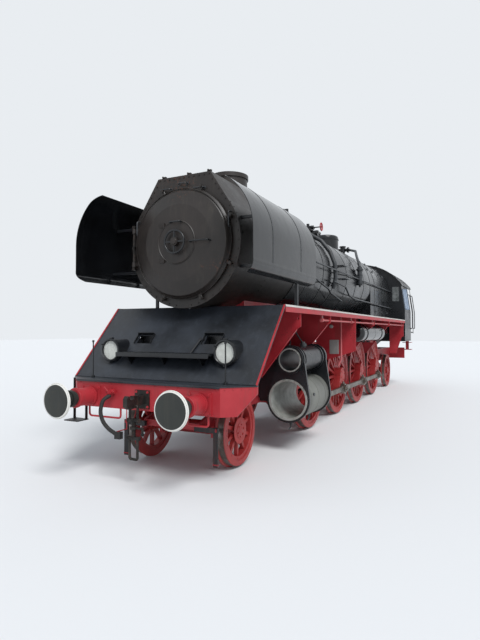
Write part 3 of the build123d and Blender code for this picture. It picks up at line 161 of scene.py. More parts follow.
def start_material(name):
    mat = bpy.data.materials.new(name)
    mat.use_nodes = True
    tree = mat.node_tree
    tree.nodes.clear()
    shader = add_node(tree, "ShaderNodeBsdfPrincipled")
    out = add_node(tree, "ShaderNodeOutputMaterial", links={"Surface": shader.outputs["BSDF"]})
    out.location = (900, 0)
    place = add_node(tree, "ShaderNodeTexCoord")
    return mat, tree, shader, place.outputs["Object"]


def painted(name, main, light, dirt, rust, rough=(0.36, 0.62), grime=1.0, wear=0.0, peel=0.02, second=None):
    """Brush or spray painted steel: mottled colour, dust in rain streaks and rust that breaks through in small
    spots. A second colour, given with an axis and a limit, covers what lies below the limit on that axis: black
    paint on the beam's ladder, and painted shade on the truck's rail guards."""
    mat, tree, shader, where = start_material(name)
    # Broad fading of the paint, about 0.6 m across
    fade = add_noise(tree, where, 1.7, 5.0, 0.6)
    colour = add_tone(tree, fade, (0.36, main), (0.7, light))
    if second:
        other, axis, limit = second
        # Below the limit: black paint on the ladder, painted shade on the rail guards
        colour = add_cover(tree, add_math(tree, "LESS_THAN", axis_of(tree, where, axis), limit), colour, other)
    # Vertical rain streaks: narrow across, long down
    streak = add_noise(tree, stretched(tree, where, (9.0, 9.0, 0.8)), 1.6, 6.0, 0.7)
    colour = add_cover(tree, add_range(tree, streak, 0.52, 0.78, 0.0, 0.55 * grime), colour, dirt)
    # Rust spots, 5 to 30 mm across, in some areas only
    spots = add_math(tree, "MULTIPLY", add_noise(tree, where, 26.0, 6.0, 0.72), add_noise(tree, where, 1.1, 3.0))
    spots = add_range(tree, spots, 0.4 - 0.06 * wear, 0.47, 0.0, 0.9)
    colour = add_cover(tree, spots, colour, rust)
    # Brush marks and orange peel, 4 to 8 mm, over shallow dents, with the rust standing up a little
    rise = add_math(tree, "ADD", add_noise(tree, where, 140.0, 3.0), spots)
    dents = add_bump(tree, add_noise(tree, where, 3.2, 2.0), 0.25, 0.02)
    feed(tree, shader, {"Base Color": colour, "Roughness": add_range(tree, fade, 0.3, 0.7, *rough),
                        "Normal": add_bump(tree, rise, 0.4, peel * 0.1, dents)})
    shader.inputs["IOR"].default_value = 1.5
    return mat


def worn_metal(name, main, dark, rust, rough=(0.28, 0.55), metallic=1.0, grain=(220.0, 220.0, 12.0), rust_from=0.5):
    """Bare or rubbed steel: fine machining lines, dark oil patches and thin brown rust."""
    mat, tree, shader, where = start_material(name)
    tone = add_tone(tree, add_noise(tree, where, 5.0, 6.0, 0.65), (0.35, dark), (0.62, main))
    film = add_noise(tree, where, 14.0, 8.0, 0.75)
    mask = add_range(tree, film, rust_from, rust_from + 0.16, 0.0, 0.9)
    lines = add_noise(tree, stretched(tree, where, grain), 1.0, 2.0)
    metal, gloss = add_range(tree, mask, 0.0, 0.9, metallic, 0.0), add_range(tree, film, 0.3, 0.7, *rough)
    feed(tree, shader, {"Base Color": add_cover(tree, mask, tone, rust), "Metallic": metal, "Roughness": gloss,
                        "Normal": add_bump(tree, lines, 0.3, 0.001)})
    return mat


def clear_glass(name, tint, rough, alpha, outer=None):
    """Float or pressed glass: thin, slightly dusty and see-through. An outer tint, given with a distance from the
    middle, colours what stands further out on either side: a painted reflection of the pale sky."""
    mat, tree, shader, where = start_material(name)
    film = add_range(tree, add_noise(tree, where, 9.0, 5.0), 0.35, 0.75, *alpha)
    feed(tree, shader, {"Alpha": film})
    shader.inputs["Base Color"].default_value = linear(tint)
    # The outer tint is a painted reflection: pale sky blue laid into the glass colour of the wind shields
    if outer:
        shield_reflection_mask = add_math(tree, "GREATER_THAN", add_math(tree, "ABSOLUTE", axis_of(tree, where, "X")), outer[1])
        both = add_node(tree, "ShaderNodeMix", {"data_type": "RGBA"}, {6: linear(tint), 7: linear(outer[0])},
                        {0: shield_reflection_mask})
        feed(tree, shader, {"Base Color": both.outputs[2]})
    shader.inputs["Roughness"].default_value = rough
    shader.inputs["IOR"].default_value = 1.5
    mat.surface_render_method = "BLENDED"
    return mat


MATS = {}


def make_materials(look):
    """Every finish on the engine, named for what the real one is."""

    def keep(make, name, *values, **more):
        MATS[name] = make(name, *values, **more)

    # Black alkyd enamel on steel plate: deep, faintly blue, dusty on its upper faces
    keep(painted, "black_enamel", look.black, "#191b1f", "#2f3030", "#4a3226", (0.22, 0.42), 0.6)
    # Heat-dulled smokebox black, brushed on over graphite: matt and slightly brown
    keep(painted, "smokebox_paint", "#191411", "#2c2522", "#3a352e", "#54311f", (0.36, 0.6), 1.1, 0.3)
    # Apron sheet: the same enamel, sun-faded to slate grey
    keep(painted, "faded_enamel", "#1a1d22", "#2c3139", "#41474f", "#503a2e", (0.34, 0.55), 0.8)
    # Red oxide running gear enamel, dull with dust
    red = (look.red, "#b5323a", "#6b3a34", "#43241c", (0.4, 0.62), 1.0, 0.4)
    keep(painted, "red_oxide_enamel", *red)
    # Red fittings on the beam, with the ladder at the right corner in black
    keep(painted, "ladder_enamel", *red, second=("#141518", "X", -1.16))
    # Red truck frame, with the rail guards ahead of it in black: painted shade under the buffer beam
    keep(painted, "truck_enamel", *red, second=("#16171a", "Y", Y0 + 1.29))
    # The same red on spokes and rims, oilier and browner
    keep(painted, "wheel_enamel", "#8e1f22", "#a83532", "#5a342c", "#3a2019", (0.38, 0.6), 1.1, 0.5)
    # Pale edge paint along the running boards
    keep(painted, "edge_paint", "#b9b4ad", "#d8d5d0", "#8b7d70", "#6b4a38", (0.45, 0.65), 0.7, 0.3)
    # White lead paint on buffer rims
    keep(painted, "white_enamel", "#d9d7d0", "#efeeea", "#a9a49a", "#7a5a44", (0.4, 0.6), 0.8, 0.3)
    # Grey primer on plates and pipe lagging
    keep(painted, "grey_primer", "#8d8f8c", "#a8aaa6", "#6f6c66", "#6a4634", (0.5, 0.7), 0.8, 0.3)
    # Dark grey stove enamel of pipework
    keep(painted, "pipe_enamel", "#2a2c2f", "#3a3d40", "#4c4b48", "#5a3c2c", (0.35, 0.55), 0.8, 0.3)
    # Blued boiler cladding sheet: black enamel that still shines a little
    keep(painted, "cladding_enamel", "#0e0f11", "#191b1e", "#2c2c2b", "#4d3528", (0.15, 0.3), 0.6, 0.0, 0.006)
    # Fresh black gloss on the air reservoirs and the deflectors' outer sheets
    keep(painted, "gloss_enamel", "#0d0e10", "#15171a", "#2a2a29", "#3b2a22", (0.1, 0.22), 0.4, 0.0, 0.004)
    # Red of the conduits, chalked to pink on top
    keep(painted, "chalky_red_enamel", "#a8474a", "#bf686a", "#7d4d48", "#4a2a20", (0.45, 0.65), 0.8, 0.2)
    # Buffer faces: greasy dark paint with a green cast
    keep(painted, "greasy_paint", "#1e211f", "#2d302c", "#3c3a32", "#4a3a2c", (0.4, 0.65), 1.0, 0.3)
    # Grey cast iron, left bare inside the cylinders
    keep(worn_metal, "bare_cast_iron", "#a9aba6", "#83857f", "#8a6a50", (0.42, 0.62), 0.25, (30.0, 260.0, 30.0), 0.62)
    # Tyre steel: rolled bright on the tread, brown at its sides
    keep(worn_metal, "tyre_steel", "#8d8a86", "#5b5550", "#5d4234", (0.3, 0.5), 1.0, (60, 200, 200), 0.48)
    # Forged steel of rods and pins, greased and rubbed
    keep(worn_metal, "forged_steel", "#8c8781", "#5d5752", "#5a4639", (0.33, 0.55), 0.9, (160.0, 12.0, 160.0), 0.52)
    # Oily wrought iron of couplings and springs
    keep(worn_metal, "oily_iron", "#3a3836", "#242322", "#3d2b22", (0.38, 0.6), 0.7, (90, 90, 90), 0.5)
    # Old brass of valves and cocks
    keep(worn_metal, "aged_brass", "#a8874a", "#6d5731", "#4a3c28", (0.3, 0.5), 1.0, (120, 120, 120), 0.6)
    # Sheet cladding of the cylinders, its paint rubbed down to grey
    keep(painted, "weathered_cladding", "#5d5e59", "#7a7b74", "#4c4a45", "#5f4636", (0.42, 0.62), 1.0, 0.5)
    # Oiled softwood planks of the cab floor
    keep(painted, "floor_timber", "#4b3826", "#6a5138", "#2e2620", "#241c15", (0.6, 0.8), 1.0, 0.5)
    # Braided brake hose rubber, chalky black
    keep(painted, "hose_rubber", "#151515", "#242322", "#3b3833", "#332c26", (0.6, 0.8), 0.8)
    # Pressed lamp glass with a ribbed inner face
    keep(clear_glass, "lamp_glass", "#eef0ea", 0.12, (0.5, 0.72))
    # Float glass of the cab's front windows, dim with soot and with painted shade of the dark cab behind them,
    #     and of the wind shields, tinted pale blue as a painted reflection of the sky
    keep(clear_glass, "window_glass", "#2f3836", 0.05, (0.62, 0.8), ("#b4c6dc", 1.38))
    # Silvered reflector inside the lamps
    keep(worn_metal, "silvered_reflector", "#dcdad4", "#b8b5ad", "#8a8478", (0.18, 0.3), 1.0, (40, 40, 40), 0.8)


# material: the solids that it finishes
NODE_FINISH = {
    "wheel_enamel": "leading_wheels trailing_wheels coupled_wheels_1 coupled_wheels_2 coupled_wheels_3 "
        "coupled_wheels_4",
    "forged_steel": "coupled_axle_1 coupled_axle_2 coupled_axle_3 coupled_axle_4 coupling_rod_left "
        "coupling_rod_right",
    "smokebox_paint": "smokebox_door smokebox feed_heater chimney",
    "black_enamel": "door_fittings apron_fittings running_boards deflector_struts cylinders valve_chests "
        "headlamps cab_front cab_sides cab_roof",
    "oily_iron": "door_hinge_pin firehole_flap axle_boxes leaf_springs draw_gear ashpan cab_floor",
    "red_oxide_enamel": "frame_plates frame_stays trailing_truck brake_gear buffer_beam buffer_cases "
        "board_valances board_brackets turret_handwheel saddle cab_steps",
    "truck_enamel": "leading_truck",
    "greasy_paint": "buffer_heads",
    "hose_rubber": "brake_hose",
    "ladder_enamel": "beam_fittings",
    "faded_enamel": "apron",
    "chalky_red_enamel": "side_pipes",
    "gloss_enamel": "smoke_deflectors air_reservoirs",
    "cladding_enamel": "boiler_barrel firebox boiler_mountings",
    "pipe_enamel": "boiler_pipes boiler_handrails",
    "aged_brass": "backhead_fittings",
    "lamp_glass": "lamp_glasses",
    "window_glass": "cab_glass",
}


# ---- Mesh helpers: each adds to an open bmesh with bmesh operators ----


def aim(direction):
    """A turn that points a shape's own Z along a direction."""
    return Vector(UP).rotation_difference(Vector(direction)).to_matrix().to_4x4()


def add_block(bm, x, s, z, bevel=0.0):
    """A block between pairs of x, station and height."""
    centre = at(sum(x) / 2, sum(s) / 2, sum(z) / 2)
    size = Matrix.Diagonal((abs(x[1] - x[0]), abs(s[1] - s[0]), abs(z[1] - z[0]), 1))
    made = bmesh.ops.create_cube(bm, size=1.0, matrix=Matrix.Translation(centre) @ size)
    if bevel:
        edges = list({e for v in made["verts"] for e in v.link_edges})
        bmesh.ops.bevel(bm, geom=edges, offset=bevel, segments=2, profile=0.5, affect="EDGES", material=-1)


def add_bar(bm, a, b, wide, thick, up=UP, bevel=0.0):
    """A flat bar from point a to point b: wide across, thick along its own up."""
    along = (b - a).normalized()
    side = along.cross(Vector(up)).normalized()
    top = side.cross(along)
    turn = Matrix((side, along, top)).transposed().to_4x4()
    size = Matrix.Diagonal((wide, (b - a).length, thick, 1))
    made = bmesh.ops.create_cube(bm, size=1.0, matrix=Matrix.Translation((a + b) / 2) @ turn @ size)
    if bevel:
        edges = list({e for v in made["verts"] for e in v.link_edges})
        bmesh.ops.bevel(bm, geom=edges, offset=bevel, segments=1, profile=0.5, affect="EDGES", material=-1)


def add_round(bm, base, axis, r, height, sides=20, r2=None):
    """A round or tapered stud that stands on its base point."""
    axis = Vector(axis).normalized()
    place = Matrix.Translation(base + axis * height / 2) @ aim(axis)
    top = r if r2 is None else r2
    bmesh.ops.create_cone(bm, cap_ends=True, segments=sides, radius1=r, radius2=top, depth=height, matrix=place)


def add_bolt(bm, base, axis, r):
    add_round(bm, base, axis, r * 1.25, r * 0.25, 12)
    add_round(bm, base, axis, r, r * 0.9, 6)


def add_bolts(bm, xs, stations, heights, axis, r):
    for x, s, z in product(xs, stations, heights):
        add_bolt(bm, at(x, s, z), axis, r)


def add_rivet(bm, base, axis, r):
    add_round(bm, base, axis, r, r * 0.35, 8, r * 0.9)
    add_round(bm, base + Vector(axis).normalized() * r * 0.35, axis, r * 0.9, r * 0.3, 8, r * 0.45)


def add_ring(bm, centre, axis, profile, steps=64, start=UP, sweep=360.0):
    """A section of radius and height along the axis, spun about it."""
    axis = Vector(axis).normalized()
    out = Vector(start).normalized()
    verts = [bm.verts.new(centre + out * r + axis * h) for r, h in profile]
    edges = [bm.edges.new((a, b)) for a, b in zip(verts, verts[1:] + verts[:1])]
    full = sweep >= 360.0
    geom = verts + edges
    if not full:
        geom.append(bm.faces.new(verts))
    bmesh.ops.spin(bm, geom=geom, cent=centre, axis=axis, angle=math.radians(sweep), steps=steps, use_merge=full,
                   use_duplicate=False)


def add_pipe(bm, points, r, bend=0.0, sides=5):
    """A round pipe or wire along points, with its corners rounded."""
    curve = bpy.data.curves.new("route", "CURVE")
    curve.dimensions = "3D"
    curve.bevel_depth = r
    curve.bevel_resolution = sides - 2
    curve.use_fill_caps = True
    line = curve.splines.new("POLY")
    route = [Vector(points[0])]
    for before, corner, after in zip(points, points[1:], points[2:]):
        if bend:
            back = (before - corner).normalized() * min(bend, (before - corner).length * 0.45)
            on = (after - corner).normalized() * min(bend, (after - corner).length * 0.45)
            for k in range(6):
                f = k / 5
                route.append(corner + back * (1 - f) ** 2 + on * f ** 2)
        else:
            route.append(Vector(corner))
    route.append(Vector(points[-1]))
    line.points.add(len(route) - 1)
    for point, place in zip(line.points, route):
        point.co = (*place, 1.0)
    holder = bpy.data.objects.new("route", curve)
    mesh = bpy.data.meshes.new_from_object(holder)
    bm.from_mesh(mesh)
    bpy.data.objects.remove(holder)
    bpy.data.curves.remove(curve)
    bpy.data.meshes.remove(mesh)


def finish_piece(bm, name, material, body="engine", sharp=35.0):
    """Turn a bmesh into a piece at the origin that rides on a body."""
    bmesh.ops.remove_doubles(bm, verts=bm.verts, dist=0.00002)
    bmesh.ops.recalc_face_normals(bm, faces=bm.faces)
    mesh = bpy.data.meshes.new(name)
    bm.to_mesh(mesh)
    bm.free()
    mesh.materials.append(MATS[material])
    mesh.polygons.foreach_set("use_smooth", [True] * len(mesh.polygons))
    mesh.set_sharp_from_angle(angle=math.radians(sharp))
    piece = bpy.data.objects.new(name, mesh)
    bpy.context.collection.objects.link(piece)
    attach(piece, body)
    return piece


def around(centre, axis, r, count, first=0.0, span=360.0):
    """Points on a circle about a point, and the directions out to them. Angles start from straight up."""
    axis = Vector(axis).normalized()
    side = Vector(UP).cross(axis).normalized()
    step = span / count if span >= 360.0 else span / max(count - 1, 1)
    for k in range(count):
        a = math.radians(first + k * step)
        out = Vector(UP) * math.cos(a) + side * math.sin(a)
        yield centre + out * r, out


def along_line(a, b, count):
    return [a.lerp(b, k / (count - 1)) for k in range(count)]


def sides_of(x):
    return (x, -x)


def band(inner, outer, start, end):
    """The section of a flat band, for add_ring: two radii, then two places along the axis."""
    return [(inner, start), (outer, start), (outer, end), (inner, end)]


# ---- Sizes and colours that a user would change ----


class LocomotiveLook(bpy.types.PropertyGroup):
    """Paint and fastener sizes of the whole engine."""

    black: bpy.props.FloatVectorProperty(name="Black enamel", description="Colour of the superstructure",
                                         subtype="COLOR", size=4, min=0, max=1, default=linear("#15171a"))
    red: bpy.props.FloatVectorProperty(name="Running gear red", description="Colour of frame, beam and brackets",
                                       subtype="COLOR", size=4, min=0, max=1, default=linear("#9c1c26"))
    rivet: bpy.props.FloatProperty(name="Rivet radius", description="Radius of the snap heads on plates",
                                   subtype="DISTANCE", unit="LENGTH", default=0.011, min=0.004, max=0.03)
    bolt: bpy.props.FloatProperty(name="Bolt radius", description="Half the width of the hexagon heads",
                                  subtype="DISTANCE", unit="LENGTH", default=0.016, min=0.006, max=0.04)


class BoilerSizes(bpy.types.PropertyGroup):
    """Sheet-metal cladding of the boiler."""

    band_width: bpy.props.FloatProperty(name="Band width", description="Width of the cladding bands",
                                        subtype="DISTANCE", unit="LENGTH", default=0.05, min=0.02, max=0.12)
    band_height: bpy.props.FloatProperty(name="Band thickness", description="How far the bands stand out",
                                         subtype="DISTANCE", unit="LENGTH", default=0.005, min=0.002, max=0.01)
    dogs: bpy.props.IntProperty(name="Door dogs", description="Clamps around the smokebox door", default=8, min=4,
                                max=16)


class StageLook(bpy.types.PropertyGroup):
    """Floor, light and camera."""

    lens: bpy.props.FloatProperty(name="Lens", description="Focal length of the photograph's camera in mm",
                                  default=27.6, min=10, max=100)
    key: bpy.props.FloatProperty(name="Key light", description="Strength of the broad light from above", default=2.3,
                                 min=0, max=10)
    sky: bpy.props.FloatProperty(name="Fill light", description="Strength of the light from all around",
                                 default=0.75, min=0, max=3)


# ---- Operators: one for each piece or group of like pieces ----


class LOCO_OT_finishes(bpy.types.Operator):
    """Make every finish and give it to the solids that keep their shape."""

    bl_idname = "loco.finishes"
    bl_label = "Paint the solids"

    def execute(self, context):
        make_materials(context.scene.loco_look)
        for material, nodes in NODE_FINISH.items():
            for node in nodes.split():
                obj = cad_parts[node]
                for slot in obj.material_slots:
                    slot.material = MATS[material]
                if not obj.material_slots:
                    obj.data.materials.append(MATS[material])
        return {"FINISHED"}


class LOCO_OT_smokebox_trim(bpy.types.Operator):
    """Rivet rows, front plate bolts, door dogs, door beads and grab irons of the smokebox."""

    bl_idname = "loco.smokebox_trim"
    bl_label = "Smokebox trim"

    def execute(self, context):
        look, boiler = context.scene.loco_look, context.scene.loco_boiler
        bm = bmesh.new()
        for s in (1.64, 2.72, 3.9):
            for place, out in around(at(0, s, BOILER_Z), REAR, SMOKEBOX_R, 60):
                blocked = s < 2.8 and place.z > 3.8 + RAIL
                if not blocked:
                    add_rivet(bm, place, out, look.rivet)
        # Bolts along the edge of the front plate
        for place, out in around(at(0, 1.6, BOILER_Z), REAR, SMOKEBOX_R - 0.035, 44):
            if place.z < 3.78 + RAIL and abs(place.x) > 0.05:
                add_bolt(bm, place, FRONT, look.bolt * 0.7)
        corners = [at(-0.7, 1.6, 3.82), at(-0.435, 1.6, 4.215), at(0.435, 1.6, 4.215), at(0.7, 1.6, 3.82)]
        for a, b, count in zip(corners, corners[1:], (6, 11, 6)):
            for place in along_line(a, b, count):
                add_bolt(bm, place, FRONT, look.bolt * 0.7)
        # Lifting lugs and lamp irons on the crest
        for x in (-0.4, 0.05, 0.4):
            add_block(bm, (x - 0.035, x + 0.035), (1.66, 1.7), (4.249, 4.3), 0.008)
            add_round(bm, at(x, 1.63, 4.283), REAR, 0.014, 0.1, 10)
        finish_piece(bm, "smokebox_fasteners", "smokebox_paint")

        bm = bmesh.new()
        for place, out in around(at(0, 1.556, BOILER_Z), REAR, 0.852, boiler.dogs, 360 / boiler.dogs / 2):
            if place.x < -0.75:
                continue
            inner = place - out * 0.075
            add_bar(bm, inner + Vector((0, -0.002, 0)), place + out * 0.045 + Vector((0, -0.002, 0)), 0.05, 0.026,
                    REAR, 0.006)
            add_round(bm, place + out * 0.03 + Vector((0, 0.045, 0)), FRONT, 0.015, 0.085, 10)
            add_round(bm, place + out * 0.03 + Vector((0, -0.016, 0)), FRONT, 0.026, 0.022, 6)
        finish_piece(bm, "door_dogs", "smokebox_paint")

        bm = bmesh.new()
        # Beaded rim and the pressed ring of the door, and the centre boss with its cap
        centre = at(0, 1.4, BOILER_Z)
        add_ring(bm, centre, FRONT, [(0.3, -0.006), (0.312, 0.004), (0.324, -0.006)], 96)
        add_ring(bm, centre, FRONT, [(0.795, -0.117), (0.801, -0.104), (0.812, -0.117)], 96)
        add_ring(bm, at(0, 1.345, BOILER_Z), FRONT, [(0.0005, 0.0), (0.0005, 0.022), (0.04, 0.02), (0.052, 0.0)], 40)
        for place, out in around(at(0, 1.352, BOILER_Z), FRONT, 0.045, 6):
            add_round(bm, place, FRONT, 0.006, 0.012, 6)
        finish_piece(bm, "door_beads", "smokebox_paint", "smokebox_door")

        bm = bmesh.new()
        # Grab irons on the upper front plate and a step iron at each shoulder
        for x, z, half in ((-0.3, 4.06, 0.09), (0.28, 4.02, 0.09), (0.0, 4.12, 0.07)):
            add_pipe(bm, [at(x - half, 1.602, z), at(x - half, 1.54, z), at(x + half, 1.54, z),
                          at(x + half, 1.602, z)], 0.009, 0.03)
            for end in (-half, half):
                add_round(bm, at(x + end, 1.601, z), FRONT, 0.024, 0.008, 12)
        for x in sides_of(0.8):
            add_pipe(bm, [at(x, 1.61, 3.62), at(x, 1.52, 3.62), at(x, 1.52, 3.4), at(x, 1.61, 3.4)], 0.011, 0.04)
        finish_piece(bm, "smokebox_grab_irons", "pipe_enamel")
        return {"FINISHED"}


class LOCO_OT_boiler_trim(bpy.types.Operator):
    """Cladding bands, sheet joints, washout plugs and dome beads of the boiler."""

    bl_idname = "loco.boiler_trim"
    bl_label = "Boiler bands and plugs"

    def execute(self, context):
        look, boiler = context.scene.loco_look, context.scene.loco_boiler
        bm = bmesh.new()
        w, h = boiler.band_width / 2, boiler.band_height
        rings = [(s, BARREL_R) for s in (3.985, 4.66, 5.55, 6.36)]
        rings += [(s, FIREBOX_R) for s in (7.24, 8.15, 9.05, 9.86)]
        for s, r in rings:
            add_ring(bm, at(0, s, BOILER_Z), REAR, band(r - 0.004, r + h, -w, w), 96)
        for s in (10.5, 11.35, 12.2, 12.9):
            r = FIREBOX_R
            add_ring(bm, at(0, s, BOILER_Z), REAR, band(r - 0.004, r + h, -w, w), 48, ACROSS, -180.0)
            for x in sides_of(r):
                add_block(bm, (x - math.copysign(0.004, x), x + math.copysign(h, x)), (s - w, s + w),
                          (1.86, BOILER_Z))
        # Band clips near the bottom of each side
        for s in (4.66, 5.55, 6.36):
            for x in SIDES:
                add_block(bm, (x * 0.905, x * 0.94), (s - w * 0.7, s + w * 0.7), (2.92, 2.98), 0.004)
        finish_piece(bm, "boiler_bands", "black_enamel")

        bm = bmesh.new()
        # Sheet joints along the cladding and the ring where the smokebox meets the boiler
        add_ring(bm, at(0, 3.95, BOILER_Z), REAR, band(BARREL_R, BARREL_R + 0.032, -0.03, 0.03), 96)
        for place, out in around(at(0, 3.95, BOILER_Z), REAR, 0.962, 72):
            add_rivet(bm, place, out, look.rivet * 0.9)
        for s0, s1, r in ((4.0, 6.4, BARREL_R), (7.22, 9.88, FIREBOX_R)):
            for angle in (38, 142):
                a = math.radians(angle)
                place = Vector((math.cos(a) * r, 0, math.sin(a) * r))
                seam_a, seam_b = at(0, s0, BOILER_Z) + place, at(0, s1, BOILER_Z) + place
                add_bar(bm, seam_a, seam_b, 0.035, 0.005, (math.cos(a), 0, math.sin(a)))
        finish_piece(bm, "cladding_joints", "cladding_enamel")

        bm = bmesh.new()
        # Washout plugs in their pressed cups: station, angle above the horizontal
        for s in (10.15, 10.85, 11.75, 12.55):
            for angle in (33, 52):
                for x in SIDES:
                    a = math.radians(angle)
                    out = Vector((x * math.cos(a), 0, math.sin(a)))
                    base = at(0, s, BOILER_Z) + out * (FIREBOX_R - 0.002)
                    add_round(bm, base, out, 0.06, 0.012, 24, 0.052)
                    add_round(bm, base, out, 0.024, 0.034, 4, 0.022)
        for s in (10.6, 11.6, 12.5):
            for x in SIDES:
                base = at(x * (FIREBOX_R - 0.002), s, 2.52)
                add_round(bm, base, (x, 0, 0), 0.052, 0.012, 24, 0.045)
                add_round(bm, base, (x, 0, 0), 0.022, 0.032, 4, 0.02)
        finish_piece(bm, "washout_plugs", "pipe_enamel")

        bm = bmesh.new()
        # Bead round the steam dome's shoulder, and the cap on its top
        dome = at(0, 8.7, BOILER_Z + FIREBOX_R + 0.02)
        add_ring(bm, dome, UP, [(0.358, 0.2), (0.372, 0.205), (0.372, 0.235), (0.358, 0.24)], 64, ACROSS)
        add_ring(bm, dome, UP, [(0.05, 0.327), (0.05, 0.345), (0.0005, 0.35), (0.0005, 0.327)], 32, ACROSS)
        finish_piece(bm, "dome_beads", "cladding_enamel")
        return {"FINISHED"}


class LOCO_OT_mounting_trim(bpy.types.Operator):
    """Bolts, unions, small handwheels and spindles on the boiler mountings."""

    bl_idname = "loco.mounting_trim"
    bl_label = "Boiler mounting details"

    def execute(self, context):
        bm = bmesh.new()
        gen = at(0, 5.35, 4.4)
        for x, r in ((0.15, 0.148), (-0.21, 0.15)):
            for place, _ in around(Vector((x, gen.y, gen.z)), ACROSS, r, 10):
                add_bolt(bm, place - Vector((math.copysign(0.001, x), 0, 0)), (math.copysign(1, x), 0, 0), 0.011)
        for k in (-0.12, -0.04, 0.04, 0.1):
            add_ring(bm, gen + Vector((k, 0, 0)), ACROSS,
                     [(0.163, -0.008), (0.172, -0.006), (0.172, 0.006), (0.163, 0.008)], 40)
        add_round(bm, gen + Vector((-0.1, 0, 0.16)), UP, 0.032, 0.045, 16)
        add_round(bm, gen + Vector((-0.1, 0, 0.205)), UP, 0.018, 0.025, 6)
        drain = ((0.2, 0.02, 0.0), (0.3, 0.02, -0.02), (0.36, 0.1, -0.2), (0.42, 0.3, -0.34))
        add_pipe(bm, [gen + Vector(point) for point in drain], 0.014, 0.06)
        finish_piece(bm, "generator_details", "black_enamel")

        bm = bmesh.new()
        top = at(0, 7.25, BOILER_Z + FIREBOX_R)
        for h, r in ((0.077, 0.13), (0.24, 0.12)):
            for place, _ in around(top + Vector((0, 0, h + 0.017)), UP, r, 8):
                add_bolt(bm, place - Vector((0, 0, 0.002)), UP, 0.011)
        for x in (-0.2, 0.2):
            add_ring(bm, top + Vector((x, 0, 0.16)), ACROSS, band(0.058, 0.082, -0.012, 0.012), 30)
        # Spindles and small handwheels of the auxiliary steam valves
        for x, y, z in ((-0.15, 0.0, 0.34), (0.0, -0.14, 0.2), (-0.02, 0.15, 0.16)):
            base = top + Vector((x * 0.4, y * 0.4, z))
            tip = top + Vector((x, y, z))
            add_pipe(bm, [base, tip], 0.011)
            add_ring(bm, tip, tip - base, band(0.044, 0.056, -0.006, 0.006), 24)
            add_bar(bm, tip + Vector((0, 0, -0.048)), tip + Vector((0, 0, 0.048)), 0.01, 0.01, (1, 1, 0))
        finish_piece(bm, "turret_details", "black_enamel")

        bm = bmesh.new()
        for x in sides_of(1.04):
            for z in (3.135, 3.18, 3.4, 3.505):
                add_ring(bm, at(x, 8.35, z), UP, band(0.06, 0.074, -0.008, 0.008), 24, ACROSS)
            for place, _ in around(at(x, 8.35, 3.195), UP, 0.078, 6):
                add_bolt(bm, place, UP, 0.009)
            add_round(bm, at(x, 8.35, 3.13), DOWN, 0.026, 0.05, 8)
        finish_piece(bm, "clack_flanges", "pipe_enamel")

        bm = bmesh.new()
        hub = at(0.33, 7.31, BOILER_Z + FIREBOX_R + 0.33)
        add_round(bm, hub - Vector((0.016, 0, 0)), ACROSS, 0.02, 0.032, 12)
        finish_piece(bm, "handwheel_hub", "red_oxide_enamel")
        return {"FINISHED"}


class LOCO_OT_deflector_trim(bpy.types.Operator):
    """Sheet joints and rivets of the smoke deflectors."""

    bl_idname = "loco.deflector_trim"
    bl_label = "Smoke deflector details"

    def execute(self, context):
        look = context.scene.loco_look
        bm = bmesh.new()
        for side in SIDES:
            x = side * 1.4665
            for s in (1.55, 2.65):
                # Joint strips along the flat of the sheet and over its curved top, with rivets beside them
                add_block(bm, (x - side * 0.002, x + side * 0.0025), (s - 0.018, s + 0.018), (2.84, 3.2))
                add_ring(bm, at(side * 0.6292, s, 3.2), REAR, band(0.8353, 0.8398, -0.018, 0.018), 24, (side, 0, 0),
                         -side * 57.0)
                for z in (2.9, 3.0, 3.1, 3.18):
                    for off in (-0.012, 0.012):
                        add_rivet(bm, at(x + side * 0.0015, s + off, z), (side, 0, 0), look.rivet * 0.4)
        finish_piece(bm, "deflector_joints", "black_enamel")
        return {"FINISHED"}


